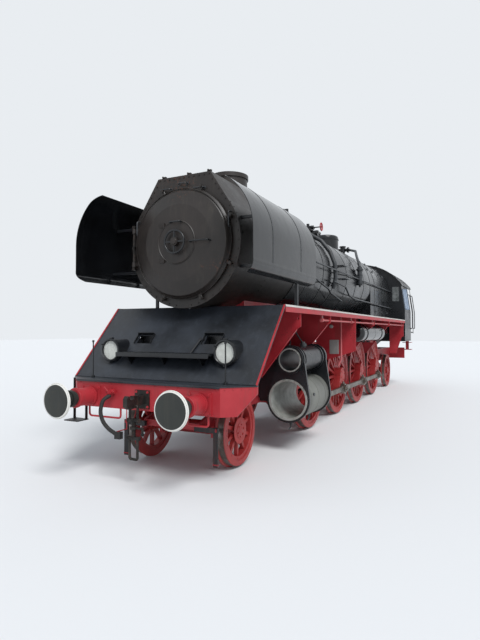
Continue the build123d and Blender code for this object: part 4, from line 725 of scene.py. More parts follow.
class LOCO_OT_apron_trim(bpy.types.Operator):
    """Edge angles, rivets, recess hoods and step board edges of the front apron and deck."""

    bl_idname = "loco.apron_trim"
    bl_label = "Apron and deck details"

    def execute(self, context):
        look = context.scene.loco_look
        foot, crest = at(0, DECK_S, DECK_Z), at(0, APRON_TOP_S, BOARD_Z)
        rise = (crest - foot).normalized()
        out = Vector((0, -rise.z, rise.y))
        bm = bmesh.new()
        for x in sides_of(1.487):
            side = Vector((x, 0, 0))
            add_bar(bm, foot + side - out * 0.004, crest + side - out * 0.004, 0.024, 0.022, out)
        finish_piece(bm, "apron_edge_angles", "red_oxide_enamel")

        bm = bmesh.new()
        length = (crest - foot).length
        for x in sides_of(1.455):
            for k in range(15):
                add_rivet(bm, foot + rise * (0.05 + k * (length - 0.1) / 14) + Vector((x, 0, 0)), out,
                          look.rivet * 0.6)
        for k in range(27):
            add_rivet(bm, foot + rise * 0.045 + Vector((-1.4 + k * 2.8 / 26, 0, 0)), out, look.rivet * 0.6)
        for x in (-0.92, 0.92):
            for k in range(13):
                place = foot + rise * (0.1 + k * (length - 0.2) / 12) + Vector((x, 0, 0))
                if not (1.45 < place.z - RAIL < 1.85):
                    add_rivet(bm, place, out, look.rivet * 0.5)
        # Rolled lip at the foot of the apron and chequer plate edge on the deck
        add_bar(bm, foot + Vector((-1.49, 0, 0.006)), foot + Vector((1.49, 0, 0.006)), 0.03, 0.012, UP, 0.004)
        add_block(bm, (-1.15, 1.15), (0.632, 0.646), (1.236, 1.266), 0.003)
        finish_piece(bm, "apron_rivets", "faded_enamel")

        bm = bmesh.new()
        # Hoods over the two foot recesses, with their cheeks
        for x in sides_of(0.59):
            top = foot + rise * 0.825 + Vector((x, 0, 0))
            add_bar(bm, top + Vector((-0.155, 0, 0)) + out * 0.024, top + Vector((0.155, 0, 0)) + out * 0.024, 0.06,
                    0.01, rise, 0.002)
            for end in (-0.15, 0.15):
                a = foot + rise * 0.65 + Vector((x + end, 0, 0))
                add_bar(bm, a + out * 0.012, top + Vector((end, 0, 0)) + out * 0.012, 0.008, 0.035, out)
            add_bar(bm, foot + rise * 0.655 + Vector((x - 0.15, 0, 0)) - out * 0.05, foot + rise * 0.655
                    + Vector((x + 0.15, 0, 0)) - out * 0.05, 0.1, 0.006, rise)
            # Sheet pocket behind each recess
            low, high = foot + rise * 0.655 - out * 0.014, foot + rise * 0.825 - out * 0.014
            floor_z, roof_z = low.z - RAIL - 0.012, high.z - RAIL + 0.004
            front, back = low.y - Y0, high.y - Y0 + 0.08
            add_block(bm, (x - 0.134, x + 0.134), (front, back), (floor_z, floor_z + 0.004))
            add_block(bm, (x - 0.134, x + 0.134), (high.y - Y0, back), (roof_z - 0.004, roof_z))
            add_block(bm, (x - 0.134, x + 0.134), (back - 0.004, back), (floor_z, roof_z))
            for end in sides_of(0.132):
                add_bar(bm, at(x + end, front + 0.02, floor_z + 0.05), at(x + end, back, floor_z + 0.05), 0.003, 0.1)
                add_bar(bm, at(x + end, high.y - Y0, roof_z - 0.03), at(x + end, back, roof_z - 0.03), 0.003, 0.06)
        # Coupling hook rest and its stay on the slope
        a = foot + rise * 0.42 + Vector((0.33, 0, 0)) + out * 0.02
        b = foot + rise * 0.72 + Vector((0.4, 0, 0)) + out * 0.02
        add_pipe(bm, [a, b], 0.016)
        add_round(bm, b - out * 0.02, out, 0.03, 0.03, 12)
        add_round(bm, a - out * 0.02, out, 0.03, 0.03, 12)
        finish_piece(bm, "recess_hoods", "black_enamel")

        bm = bmesh.new()
        # Turned-down edge and ribs of the step board
        add_block(bm, (-0.76, 0.78), (0.994, 1.004), (1.57, 1.632), 0.003)
        for k in range(12):
            add_block(bm, (-0.74 + k * 0.135, -0.71 + k * 0.135), (1.01, 1.21), (1.629, 1.634))
        for x in (-0.593, -0.013, 0.607):
            for z in (1.5, 1.56):
                add_bolt(bm, at(x + 0.007, 1.13 + (z - 1.43) * 0.5, z), ACROSS, 0.01)
        finish_piece(bm, "step_board_trim", "black_enamel")
        return {"FINISHED"}


class LOCO_OT_board_trim(bpy.types.Operator):
    """Pale edge angles, valance bolts and clamps along the running boards."""

    bl_idname = "loco.board_trim"
    bl_label = "Running board edges"

    def execute(self, context):
        look = context.scene.loco_look
        bm = bmesh.new()
        for side in SIDES:
            add_block(bm, (side * 1.47, side * 1.5045), (1.905, 12.945), (2.3005, 2.3065), 0.001)
            add_block(bm, (side * 1.5005, side * 1.5045), (1.905, 12.945), (2.278, 2.3005))
        finish_piece(bm, "board_edge_angles", "edge_paint")

        bm = bmesh.new()
        for side in SIDES:
            for k in range(46):
                s = 2.0 + k * 0.24
                add_rivet(bm, at(side * 1.4965, s, 2.262), (side, 0, 0), look.rivet * 0.55)
            for s in (4.6, 7.3, 9.9, 12.4):
                add_block(bm, (side * 1.494, side * 1.4995), (s - 0.05, s + 0.05), (2.205, 2.286))
                add_bolts(bm, [side * 1.4965], (s - 0.03, s + 0.03), (2.225, 2.265), (side, 0, 0), 0.006)
        finish_piece(bm, "valance_rivets", "red_oxide_enamel")

        bm = bmesh.new()
        # Lap joints and screws of the board sheets
        for s in (3.2, 4.9, 6.6, 8.3, 10.0, 11.7):
            for side in SIDES:
                add_block(bm, (side * 1.03, side * 1.47), (s - 0.03, s + 0.03), (2.2995, 2.303))
                for k in range(5):
                    add_round(bm, at(side * (1.07 + k * 0.09), s + 0.015, 2.302), UP, 0.007, 0.002, 8)
        finish_piece(bm, "board_laps", "black_enamel")

        bm = bmesh.new()
        # Bolted feet of the brackets on the frame, and stiffening edges that face outwards
        for s, low, high in ((2.568, 1.2, 2.0), (4.148, 1.33, 2.08), (8.028, 1.29, 2.08), (10.028, 1.29, 2.08)):
            for side in SIDES:
                a, b = at(side * 0.83, s, low + 0.004), at(side * 1.42, s, high - 0.044)
                add_bar(bm, a, b, 0.05, 0.008, UP)
                for z in (low + 0.06, low + 0.16):
                    for f in (-0.008, 0.008):
                        add_bolt(bm, at(side * 0.66, s + f, z), (0, math.copysign(1, f), 0), 0.012)
        finish_piece(bm, "bracket_edges", "red_oxide_enamel")

        bm = bmesh.new()
        for side in SIDES:
            for s in (3.74, 5.76, 7.9, 10.2, 12.5):
                for ds in (-0.018, 0.018):
                    add_bolt(bm, at(side * 1.462, s + ds, 2.165), (side, 0, 0), 0.006)
            # Lubricator union on the motion plate
            base = at(side * 0.96, 6.018, 2.03)
            add_round(bm, base, FRONT, 0.038, 0.05, 20)
            add_round(bm, base + Vector((0, -0.05, 0)), FRONT, 0.024, 0.02, 6)
        finish_piece(bm, "conduit_unions", "grey_primer")

        bm = bmesh.new()
        for side in SIDES:
            add_block(bm, (side * 0.912, side * 1.118), (6.0105, 6.014), (1.432, 1.738), 0.001)
            for dx in (0.925, 1.105):
                for z in (1.445, 1.725):
                    add_round(bm, at(side * dx, 6.012, z), FRONT, 0.006, 0.004, 8)
        finish_piece(bm, "blank_plate_faces", "grey_primer")
        return {"FINISHED"}


def wheel_spot(s, axle_z, turn, angle, r, x):
    """A point on a wheel: angle in degrees from the crank, which stands turn degrees from straight down."""
    a = math.radians(turn + angle)
    return at(x, s - r * math.sin(a), axle_z - r * math.cos(a))


class LOCO_OT_wheel_trim(bpy.types.Operator):
    """Tyre bands, retaining ring bolts, hub covers, crank pin nuts and balance weight bolts."""

    bl_idname = "loco.wheel_trim"
    bl_label = "Wheel details"

    def execute(self, context):
        # body, station, tread radius, hub radius, outer face of the hub, whether it has cranks
        wheels = [("leading_wheelset", *LEADING, 0.12, 0.83, False),
                  ("trailing_wheelset", *TRAILING, 0.125, 0.83, False)]
        wheels += [(f"coupled_wheelset_{i + 1}", s, COUPLED_R, 0.19, 0.93, True) for i, s in enumerate(COUPLED_S)]
        for body, s, r, hub, hub_x, cranked in wheels:
            bm = bmesh.new()
            for side in SIDES:
                # Rolled tread, bright beside the flange
                add_ring(bm, at(0, s, r), (side, 0, 0), band(r - 0.01, r + 0.0004, 0.718, 0.81), 128)
            finish_piece(bm, f"{body}_treads", "tyre_steel", body, 50)
            bm = bmesh.new()
            for side in SIDES:
                add_ring(bm, at(0, s, r), (side, 0, 0),
                         [(r - 0.088, 0.807), (r - 0.088, 0.814), (r - 0.076, 0.814), (r - 0.076, 0.807)], 96)
                count = 20 if cranked else 12
                for place, _ in around(at(side * 0.808, s, r), ACROSS, r - 0.108, count, 9):
                    add_rivet(bm, place, (side, 0, 0), 0.011)
                for place, _ in around(at(side * hub_x, s, r), ACROSS, hub * 0.72, 6, 15):
                    add_bolt(bm, place - Vector((side * 0.001, 0, 0)), (side, 0, 0), 0.013)
                add_ring(bm, at(0, s, r), (side, 0, 0),
                         [(0.0005, hub_x - 0.001), (0.0005, hub_x + 0.006), (hub * 0.5, hub_x + 0.005),
                          (hub * 0.58, hub_x - 0.001)], 48)
                if cranked:
                    turn = CRANKS[side]
                    for angle in (-36, -18, 0, 18, 36):
                        spot = wheel_spot(s, r, turn, 180 + angle, 0.64, side * 0.793)
                        add_bolt(bm, spot, (side, 0, 0), 0.015)
                    for angle in (-14, 14):
                        add_bolt(bm, wheel_spot(s, r, turn, 180 + angle, 0.545, side * 0.793), (side, 0, 0), 0.015)
                    # Ring cast round the crank pin's seat
                    spot = wheel_spot(s, r, turn, 0, CRANK_R, 0)
                    add_ring(bm, Vector((0, spot.y, spot.z)), (side, 0, 0),
                             [(0.095, 0.928), (0.095, 0.936), (0.13, 0.936), (0.136, 0.928)], 40)
                if body == "leading_wheelset":
                    # Dished cover over the axle's end
                    add_ring(bm, at(0, s, r), (side, 0, 0),
                             [(0.112, hub_x - 0.006), (0.15, hub_x - 0.004), (0.185, hub_x - 0.01),
                              (0.19, hub_x - 0.016), (0.184, hub_x - 0.018), (0.112, hub_x - 0.014)], 48)
            finish_piece(bm, f"{body}_bolts", "wheel_enamel", body)
            if cranked:
                bm = bmesh.new()
                for side in SIDES:
                    turn = CRANKS[side]
                    cap = wheel_spot(s, r, turn, 0, CRANK_R, side * 1.069)
                    add_round(bm, cap - Vector((side * 0.001, 0, 0)), (side, 0, 0), 0.046, 0.024, 6)
                    add_round(bm, cap + Vector((side * 0.022, 0, 0)), (side, 0, 0), 0.018, 0.012, 16)
                    for place, _ in around(cap, ACROSS, 0.066, 6, turn):
                        add_round(bm, place - Vector((side * 0.001, 0, 0)), (side, 0, 0), 0.008, 0.008, 6)
                finish_piece(bm, f"{body}_pin_nuts", "forged_steel", body)
        return {"FINISHED"}


class LOCO_OT_rod_trim(bpy.types.Operator):
    """Fluted edges, bushes, oil cups and knuckle pins of the coupling rods."""

    bl_idname = "loco.rod_trim"
    bl_label = "Coupling rod details"

    def execute(self, context):
        for name, side in (("left", 1), ("right", -1)):
            a = math.radians(CRANKS[side])
            ds, z = -CRANK_R * math.sin(a), COUPLED_R - CRANK_R * math.cos(a)
            bm = bmesh.new()
            for s0, s1 in zip(COUPLED_S, COUPLED_S[1:]):
                for x in (0.9665, 1.0135):
                    for edge in (-0.045, 0.045):
                        block = (side * (x - 0.003), side * (x + 0.003))
                        add_block(bm, block, (s0 + ds + 0.34, s1 + ds - 0.21),
                                  (z + edge - 0.0075, z + edge + 0.0075), 0.001)
            for s in COUPLED_S:
                # Oil cup with its screwed lid on top of each boss
                add_round(bm, at(side * 0.99, s + ds, z + 0.112), UP, 0.026, 0.04, 16)
                add_round(bm, at(side * 0.99, s + ds, z + 0.152), UP, 0.015, 0.018, 6)
            for s in COUPLED_S[1:3]:
                add_round(bm, at(side * 1.034, s + ds + 0.24, z), (side, 0, 0), 0.036, 0.016, 6)
                add_round(bm, at(side * 1.034, s + ds + 0.24, z), (side, 0, 0), 0.05, 0.006, 24)
            finish_piece(bm, f"{name}_rod_details", "forged_steel", f"{name}_coupling_rod")
            bm = bmesh.new()
            for s in COUPLED_S:
                add_ring(bm, at(0, s + ds, z), (side, 0, 0),
                         [(0.064, 1.0345), (0.064, 1.0365), (0.084, 1.0365), (0.084, 1.0345)], 48)
            finish_piece(bm, f"{name}_rod_bushes", "aged_brass", f"{name}_coupling_rod")
        return {"FINISHED"}


class LOCO_OT_cylinder_trim(bpy.types.Operator):
    """Cover studs, liners, lagging bands and drain cocks of the open cylinders."""

    bl_idname = "loco.cylinder_trim"
    bl_label = "Cylinder details"

    def execute(self, context):
        bm = bmesh.new()
        for x in SIDES:
            for s, way in ((CYL_S, -1), (CYL_END, 1)):
                for place, _ in around(at(x * CYL_X, s - way * 0.002, CYL_Z), REAR, 0.348, 24, 7):
                    add_round(bm, place, (0, way, 0), 0.009, 0.026, 8)
            for s, way in ((CYL_S - 0.045, -1), (CYL_END + 0.06, 1)):
                for place, _ in around(at(x * VALVE_X, s - way * 0.002, VALVE_Z), REAR, 0.198, 14, 10):
                    add_round(bm, place, (0, way, 0), 0.008, 0.02, 8)
        finish_piece(bm, "cover_studs", "oily_iron")

        bm = bmesh.new()
        for side in SIDES:
            # A thin machined skin in the cylinder's bore, and a bright lip at each end of the valve bore
            skin, bore, lip = CYL_BORE - 0.0005, CYL_BORE - 0.003, CYL_BORE + 0.03
            s0, s1 = CYL_S - 0.003, CYL_END + 0.003
            add_ring(bm, at(side * CYL_X, 0, CYL_Z), REAR,
                     [(bore, s0), (lip, s0), (lip, CYL_S), (skin, CYL_S), (skin, CYL_END), (lip, CYL_END), (lip, s1),
                      (bore, s1)], 96)
            for face, way in ((2.834, 1), (4.121, -1)):
                add_ring(bm, at(side * VALVE_X, face, VALVE_Z), (0, way, 0),
                         [(0.169, 0.004), (0.169, 0.0), (0.19, 0.0), (0.19, 0.004)], 96)
        finish_piece(bm, "bore_liners", "bare_cast_iron")

        bm = bmesh.new()
        for side in SIDES:
            # Cladding sheet between the end flanges, left bare where the paint has gone
            add_ring(bm, at(side * CYL_X, 0, CYL_Z), REAR, band(0.33, 0.3345, 2.928, 4.012), 96)
            for s in (3.1, 3.47, 3.84):
                add_ring(bm, at(side * CYL_X, 0, CYL_Z), REAR, band(0.332, 0.338, s - 0.02, s + 0.02), 96)
        finish_piece(bm, "cylinder_cladding", "weathered_cladding")

        bm = bmesh.new()
        for side in SIDES:
            # Drain cocks under both ends, joined by their rod
            for s in (3.02, 3.92):
                add_round(bm, at(side * CYL_X, s, CYL_Z - 0.335), DOWN, 0.03, 0.035, 16)
                add_round(bm, at(side * CYL_X, s, CYL_Z - 0.37), DOWN, 0.02, 0.06, 12)
                add_pipe(bm, [at(side * CYL_X, s, CYL_Z - 0.41), at(side * CYL_X, s, CYL_Z - 0.455),
                              at(side * CYL_X, s - 0.1, CYL_Z - 0.47)], 0.012, 0.03)
            add_pipe(bm, [at(side * (CYL_X - 0.04), 3.02, CYL_Z - 0.385),
                          at(side * (CYL_X - 0.04), 3.92, CYL_Z - 0.385)], 0.009)
            # Relief and snifting valves
            add_round(bm, at(side * 1.452, 3.2, 0.9), (side, 0, 0), 0.026, 0.04, 16)
            add_round(bm, at(side * VALVE_X, 3.47, VALVE_Z + 0.2), UP, 0.055, 0.05, 20)
            add_round(bm, at(side * VALVE_X, 3.47, VALVE_Z + 0.25), UP, 0.036, 0.03, 6)
            # Indicator and oil pipes along the valve chest
            add_pipe(bm, [at(side * 1.06, 2.95, 1.655), at(side * 1.04, 3.3, 1.7), at(side * 0.92, 3.5, 1.9),
                          at(side * 0.8, 3.6, 2.28)], 0.013, 0.1)
            add_pipe(bm, [at(side * 1.1, 3.95, 1.665), at(side * 1.06, 3.8, 1.74), at(side * 0.95, 3.72, 1.95),
                          at(side * 0.84, 3.7, 2.28)], 0.013, 0.1)
        finish_piece(bm, "cylinder_cocks", "pipe_enamel")
        return {"FINISHED"}


class LOCO_OT_front_trim(bpy.types.Operator):
    """Bolts, rings and links of the buffers, beam, couplings and lamps."""

    bl_idname = "loco.front_trim"
    bl_label = "Beam, buffer and lamp details"

    def execute(self, context):
        look = context.scene.loco_look
        bm = bmesh.new()
        for x in sides_of(BUFFER_X):
            add_bolts(bm, (x - 0.135, x + 0.135), [0.629], (BUFFER_Z - 0.11, BUFFER_Z + 0.11), FRONT, look.bolt)
            for s in (0.345, 0.6):
                add_ring(bm, at(x, s, BUFFER_Z), REAR,
                         [(0.116, -0.012), (0.132, -0.01), (0.132, 0.01), (0.116, 0.012)], 48)
            add_ring(bm, at(x, 0.34, BUFFER_Z), FRONT,
                     [(0.088, 0.012), (0.088, 0.018), (0.12, 0.018), (0.128, 0.012)], 48)
        for k in range(13):
            x = -1.08 + k * 0.18
            if abs(abs(x) - BUFFER_X) > 0.19 and abs(x) > 0.16:
                for z in (0.925, 1.222):
                    add_rivet(bm, at(x, 0.651, z), FRONT, look.rivet)
        add_bolts(bm, (-0.09, 0.09), [0.633], (BUFFER_Z - 0.095, BUFFER_Z + 0.095), FRONT, look.bolt * 0.9)
        for side in SIDES:
            a, b = at(side * 1.155, 0.654, 0), at(side * 1.485, 0.946, 0)
            along = (b - a).normalized()
            out = Vector((along.y * side, -along.x * side, 0))
            for f in (0.12, 0.36, 0.6, 0.84):
                place = a.lerp(b, f)
                add_rivet(bm, Vector((place.x, place.y, 1.225 + RAIL)) + out * 0.0005, out, look.rivet * 0.8)
        finish_piece(bm, "beam_bolts", "red_oxide_enamel")

        bm = bmesh.new()
        for x in sides_of(BUFFER_X):
            # White ring on each buffer's rim, following its crown
            add_ring(bm, at(x, 0, BUFFER_Z), REAR,
                     [(0.206, 0.014), (0.206, 0.0188), (0.2245, 0.0225), (0.2305, 0.0395), (0.2285, 0.04),
                      (0.2225, 0.021)], 96)
        finish_piece(bm, "buffer_rings", "white_enamel")

        bm = bmesh.new()
        # Thread of the coupling screw, shackle nuts, and the weight on the end of its lever
        for k in range(22):
            add_ring(bm, at(0, 0.47, 0.575 + k * 0.0115), UP, [(0.0255, -0.003), (0.0305, 0.0), (0.0255, 0.003)], 20,
                     ACROSS)
        for z in (0.575, 0.8):
            for x in (-0.078, 0.078):
                add_round(bm, at(x, 0.47, z), (math.copysign(1, x), 0, 0), 0.03, 0.016, 6)
        add_round(bm, at(0.14, 0.47, 0.642), DOWN, 0.026, 0.03, 16, 0.016)
        finish_piece(bm, "coupling_details", "oily_iron")

        bm = bmesh.new()
        for x in (-0.548, -0.5, -0.45):
            add_ring(bm, at(x, 0.6, 1.12), ACROSS, band(0.019, 0.028, -0.008, 0.008), 24)
        add_bar(bm, at(-0.49, 0.556, 1.12), at(-0.56, 0.545, 1.185), 0.016, 0.01, REAR, 0.003)
        add_round(bm, at(-0.49, 0.562, 1.12), FRONT, 0.024, 0.014, 6)
        finish_piece(bm, "cock_details", "red_oxide_enamel")

        bm = bmesh.new()
        for x in sides_of(LAMP_X):
            centre = at(x, 1.11, LAMP_Z)
            add_ring(bm, centre, FRONT,
                     [(0.138, -0.018), (0.138, 0.006), (0.15, 0.016), (0.168, 0.008), (0.1715, -0.03),
                      (0.165, -0.03)], 72)
            for place, out in around(centre, FRONT, 0.171, 3, 60):
                add_round(bm, place + Vector((0, 0.012, 0)), FRONT, 0.01, 0.035, 10)
            add_block(bm, (x - 0.03, x + 0.03), (1.12, 1.16), (1.815, 1.84), 0.004)
            add_ring(bm, at(x, 1.18, LAMP_Z), REAR, [(0.157, -0.01), (0.164, -0.008), (0.164, 0.008), (0.157, 0.01)],
                     64)
        finish_piece(bm, "lamp_bezels", "black_enamel")

        bm = bmesh.new()
        for x in sides_of(LAMP_X):
            add_ring(bm, at(x, 1.128, LAMP_Z), REAR,
                     [(0.0005, 0.016), (0.05, 0.014), (0.1, 0.008), (0.1385, 0.001), (0.1385, 0.019),
                      (0.0005, 0.019)], 64)
        finish_piece(bm, "lamp_reflectors", "silvered_reflector")

        bm = bmesh.new()
        for x in sides_of(LAMP_X):
            # Ribs pressed into the lamp glass
            for k in range(9):
                dx = -0.112 + k * 0.028
                half = math.sqrt(0.136 ** 2 - dx ** 2)
                add_block(bm, (x + dx - 0.009, x + dx + 0.009), (1.1255, 1.1285), (LAMP_Z - half, LAMP_Z + half),
                          0.001)
        finish_piece(bm, "lamp_ribs", "lamp_glass")
        return {"FINISHED"}


class LOCO_OT_underframe_trim(bpy.types.Operator):
    """Bolts, pins, spring buckles and brake joints between and behind the wheels."""

    bl_idname = "loco.underframe_trim"
    bl_label = "Underframe details"

    def execute(self, context):
        look = context.scene.loco_look
        bm = bmesh.new()
        for side in SIDES:
            x = side * 0.5995
            for s in [1.1 + 0.22 * k for k in range(60)]:
                near_axle = any(abs(s - c) < 0.2 for c in COUPLED_S)
                if 2.9 < s < 12.2 and not near_axle:
                    add_rivet(bm, at(x, s, 1.375), (side, 0, 0), look.rivet)
            for c in COUPLED_S:
                # Horn guide bolts each side of the axle boxes and the keep under them
                add_bolts(bm, [x], (c - 0.19, c + 0.19), (0.8, 0.92, 1.04, 1.16), (side, 0, 0), look.bolt * 0.8)
                add_block(bm, (side * 0.49, side * 0.61), (c - 0.2, c + 0.2), (0.7, 0.722), 0.004)
        finish_piece(bm, "frame_bolts", "red_oxide_enamel")

        bm = bmesh.new()
        for side in SIDES:
            for c in COUPLED_S:
                add_block(bm, (side * 0.497, side * 0.603), (c - 0.05, c + 0.05), (0.48, 0.575), 0.006)
                for end in (-0.44, 0.44):
                    add_round(bm, at(side * 0.486, c + end, 0.64), (side, 0, 0), 0.022, 0.128, 12)
                    add_round(bm, at(side * 0.482, c + end, 0.64), (side, 0, 0), 0.03, 0.012, 6)
        finish_piece(bm, "spring_buckles", "oily_iron")

        bm = bmesh.new()
        for c in COUPLED_S:
            hang = c - COUPLED_R - 0.058
            for side in SIDES:
                for z, r in ((1.34, 0.026), (0.6, 0.026), (0.8, 0.02)):
                    add_round(bm, at(side * 0.764, hang, z), (side, 0, 0), r, 0.02, 6)
                add_block(bm, (side * 0.732, side * 0.768), (hang - 0.03, hang + 0.034), (1.3, 1.385), 0.005)
            for x in (-0.3, 0.3):
                add_block(bm, (x - 0.035, x + 0.035), (hang - 0.045, hang + 0.045), (0.562, 0.638), 0.006)
        finish_piece(bm, "brake_joints", "red_oxide_enamel")

        bm = bmesh.new()
        for side in SIDES:
            for s, z in (LEADING, TRAILING):
                add_bolts(bm, [side * 0.4695], (s - 0.15, s + 0.15), (z - 0.07, z + 0.04, z + 0.15), (side, 0, 0),
                          look.bolt * 0.8)
            add_bolts(bm, [side * 0.765], [1.232], (0.59, 0.61), FRONT, 0.012)
            add_block(bm, (side * 0.716, side * 0.794), (1.226, 1.262), (0.135, 0.15), 0.003)
        finish_piece(bm, "truck_bolts", "red_oxide_enamel")

        bm = bmesh.new()
        for side in SIDES:
            # Strap bands and drain plugs of the air reservoirs
            for s in (7.48, 9.23):
                add_ring(bm, at(side * TANK_X, s, TANK_Z), REAR, band(0.212, 0.22, -0.022, 0.022), 64)
                add_round(bm, at(side * TANK_X, s, TANK_Z) + Vector((side * 0.2, 0, 0.09)), (side, 0, 0.4), 0.01,
                          0.05, 8)
            for s in (7.55, 8.37, 9.2):
                add_ring(bm, at(side * TANK_X, s, TANK_Z), REAR,
                         [(0.206, -0.006), (0.2105, -0.004), (0.2105, 0.004), (0.206, 0.006)], 64)
            add_round(bm, at(side * TANK_X, 8.37, 1.674), DOWN, 0.022, 0.035, 8)
            add_round(bm, at(side * TANK_X, 7.052, TANK_Z), FRONT, 0.03, 0.03, 8)
        finish_piece(bm, "reservoir_straps", "black_enamel")
        return {"FINISHED"}


class LOCO_OT_cab_trim(bpy.types.Operator):
    """Window frames, gutters, handrails, rivets, dials and floor boards of the cab."""

    bl_idname = "loco.cab_trim"
    bl_label = "Cab details"

    def execute(self, context):
        look = context.scene.loco_look
        lean = (HALF_WIDTH - EAVE_X) / (EAVE_Z - WAIST_Z)

        def wall(side, s, z, out=0.0):
            x = HALF_WIDTH - lean * max(z - WAIST_Z, 0)
            return at(side * (x + out), s, z)

        bm = bmesh.new()
        for side in SIDES:
            for s0, s1 in ((13.17, 13.71), (13.79, 14.16)):
                for z in (SILL_Z, LINTEL_Z):
                    add_bar(bm, wall(side, s0 - 0.016, z, 0.001), wall(side, s1 + 0.016, z, 0.001), 0.016, 0.018, UP,
                            0.003)
                for s in (s0 - 0.008, s1 + 0.008):
                    add_bar(bm, wall(side, s, SILL_Z, 0.001), wall(side, s, LINTEL_Z, 0.001), 0.018, 0.016, ACROSS,
                            0.003)
            # Arm rest under the side window, and the gutter along the eave
            add_bar(bm, wall(side, 13.15, 2.7, 0.008), wall(side, 13.73, 2.7, 0.008), 0.07, 0.02, UP, 0.006)
            add_bar(bm, at(side * 1.398, 12.9, 3.508), at(side * 1.398, 15.1, 3.508), 0.03, 0.02, UP, 0.004)
        finish_piece(bm, "window_frames", "black_enamel")

        bm = bmesh.new()
        for side in SIDES:
            for s in (14.325, 14.955):
                add_pipe(bm, [wall(side, s, 2.02, 0.0), wall(side, s, 2.02, 0.055), wall(side, s, 2.6, 0.055),
                              wall(side, s, 3.25, 0.055), wall(side, s, 3.25, 0.0)], 0.014, 0.05, 7)
                for z in (2.02, 3.25):
                    add_round(bm, wall(side, s, z, -0.002), (side, 0, 0), 0.03, 0.01, 16)
        finish_piece(bm, "cab_grab_rails", "black_enamel")

        bm = bmesh.new()
        for side in SIDES:
            for k in range(26):
                z = 1.64 + k * 0.076
                if z < 3.5:
                    add_rivet(bm, wall(side, 12.975, z, -0.0005), (side, 0, 0), look.rivet * 0.6)
            for k in range(17):
                s = 13.04 + k * 0.076
                add_rivet(bm, wall(side, s, 1.615, -0.0005), (side, 0, 0), look.rivet * 0.6)
                add_rivet(bm, wall(side, s, 2.6, -0.0005), (side, 0, 0), look.rivet * 0.6)
        finish_piece(bm, "cab_rivets", "black_enamel")

        bm = bmesh.new()
        # Roof ribs that follow the arch, and the ventilator flap
        radius = (EAVE_X ** 2 + ARCH_RISE ** 2) / (2 * ARCH_RISE)
        centre_z = CROWN_Z - radius
        half = math.degrees(math.asin(EAVE_X / radius))
        for s in (12.9, 13.62, 14.34, 15.1):
            start = Vector((math.sin(math.radians(half)), 0, math.cos(math.radians(half))))
            add_ring(bm, at(0, s, centre_z), REAR, band(radius + 0.024, radius + 0.032, -0.016, 0.016), 40, start,
                     -2 * half)
        add_block(bm, (-0.42, 0.42), (13.7, 14.26), (4.235, 4.275), 0.01)
        add_block(bm, (-0.39, 0.39), (13.73, 14.23), (4.27, 4.3), 0.008)
        finish_piece(bm, "roof_ribs", "black_enamel")

        bm = bmesh.new()
        for side in SIDES:
            # Frames of the front panes and of the wind shields
            for x in (1.08, 1.31):
                add_block(bm, (side * (x - 0.01), side * (x + 0.01)), (12.94, 12.949), (2.94, 3.46), 0.002)
            for z in (2.95, 3.45):
                add_block(bm, (side * 1.07, side * 1.32), (12.94, 12.949), (z - 0.01, z + 0.01), 0.002)
            low, top = wall(side, 13.153, 2.66), wall(side, 13.153, 3.38)
            step = Vector((side * 0.142, 0, 0))
            add_bar(bm, low + step * 0.98, top + step * 0.98, 0.012, 0.014, REAR, 0.002)
            add_bar(bm, low + step * 0.02, low + step, 0.014, 0.01, UP, 0.002)
            add_bar(bm, top + step * 0.02, top + step, 0.014, 0.01, UP, 0.002)
        finish_piece(bm, "pane_frames", "pipe_enamel")

        bm = bmesh.new()
        # Dials above the firehole with their rims
        for x, z, r in DIALS:
            add_round(bm, at(x, 13.298, z), REAR, r, 0.045, 32)
            add_ring(bm, at(x, 13.343, z), REAR,
                     [(r - 0.012, -0.003), (r - 0.012, 0.006), (r + 0.002, 0.006), (r + 0.004, -0.003)], 40)
        finish_piece(bm, "dial_cases", "aged_brass")
        bm = bmesh.new()
        for x, z, r in DIALS:
            add_round(bm, at(x, 13.342, z), REAR, r - 0.012, 0.003, 32)
        finish_piece(bm, "dial_faces", "white_enamel")

        bm = bmesh.new()
        # Firehole surround, its bolts and the shovelling plate
        for x0, x1, z0, z1 in ((-0.27, 0.27, 2.495, 2.545), (-0.27, 0.27, 2.105, 2.155),
                               (-0.27, -0.22, 2.155, 2.495), (0.22, 0.27, 2.155, 2.495)):
            add_block(bm, (x0, x1), (13.298, 13.322), (z0, z1), 0.004)
        add_bolts(bm, (-0.24, 0.24), [13.321], (2.13, 2.32, 2.52), REAR, 0.012)
        add_block(bm, (-0.45, 0.45), (13.31, 14.2), (1.8995, 1.908), 0.002)
        for x in (-0.6, -0.3, 0.0, 0.3, 0.6):
            for z in (2.72, 2.98):
                add_round(bm, at(x, 13.298, z), REAR, 0.03, 0.014, 16)
        finish_piece(bm, "firehole_surround", "oily_iron")

        bm = bmesh.new()
        # Planked floor boards
        for k in range(9):
            x0 = -1.44 + k * 0.322
            add_block(bm, (x0, x0 + 0.3), (13.34, 15.03), (1.899, 1.9045), 0.001)
        finish_piece(bm, "floor_boards", "floor_timber")

        bm = bmesh.new()
        for side in SIDES:
            for z in (1.507, 1.247):
                for k in range(7):
                    add_block(bm, (side * 1.19, side * 1.47), (14.46 + k * 0.055, 14.475 + k * 0.055),
                              (z + 0.0065, z + 0.01))
        finish_piece(bm, "cab_step_treads", "oily_iron")
        return {"FINISHED"}


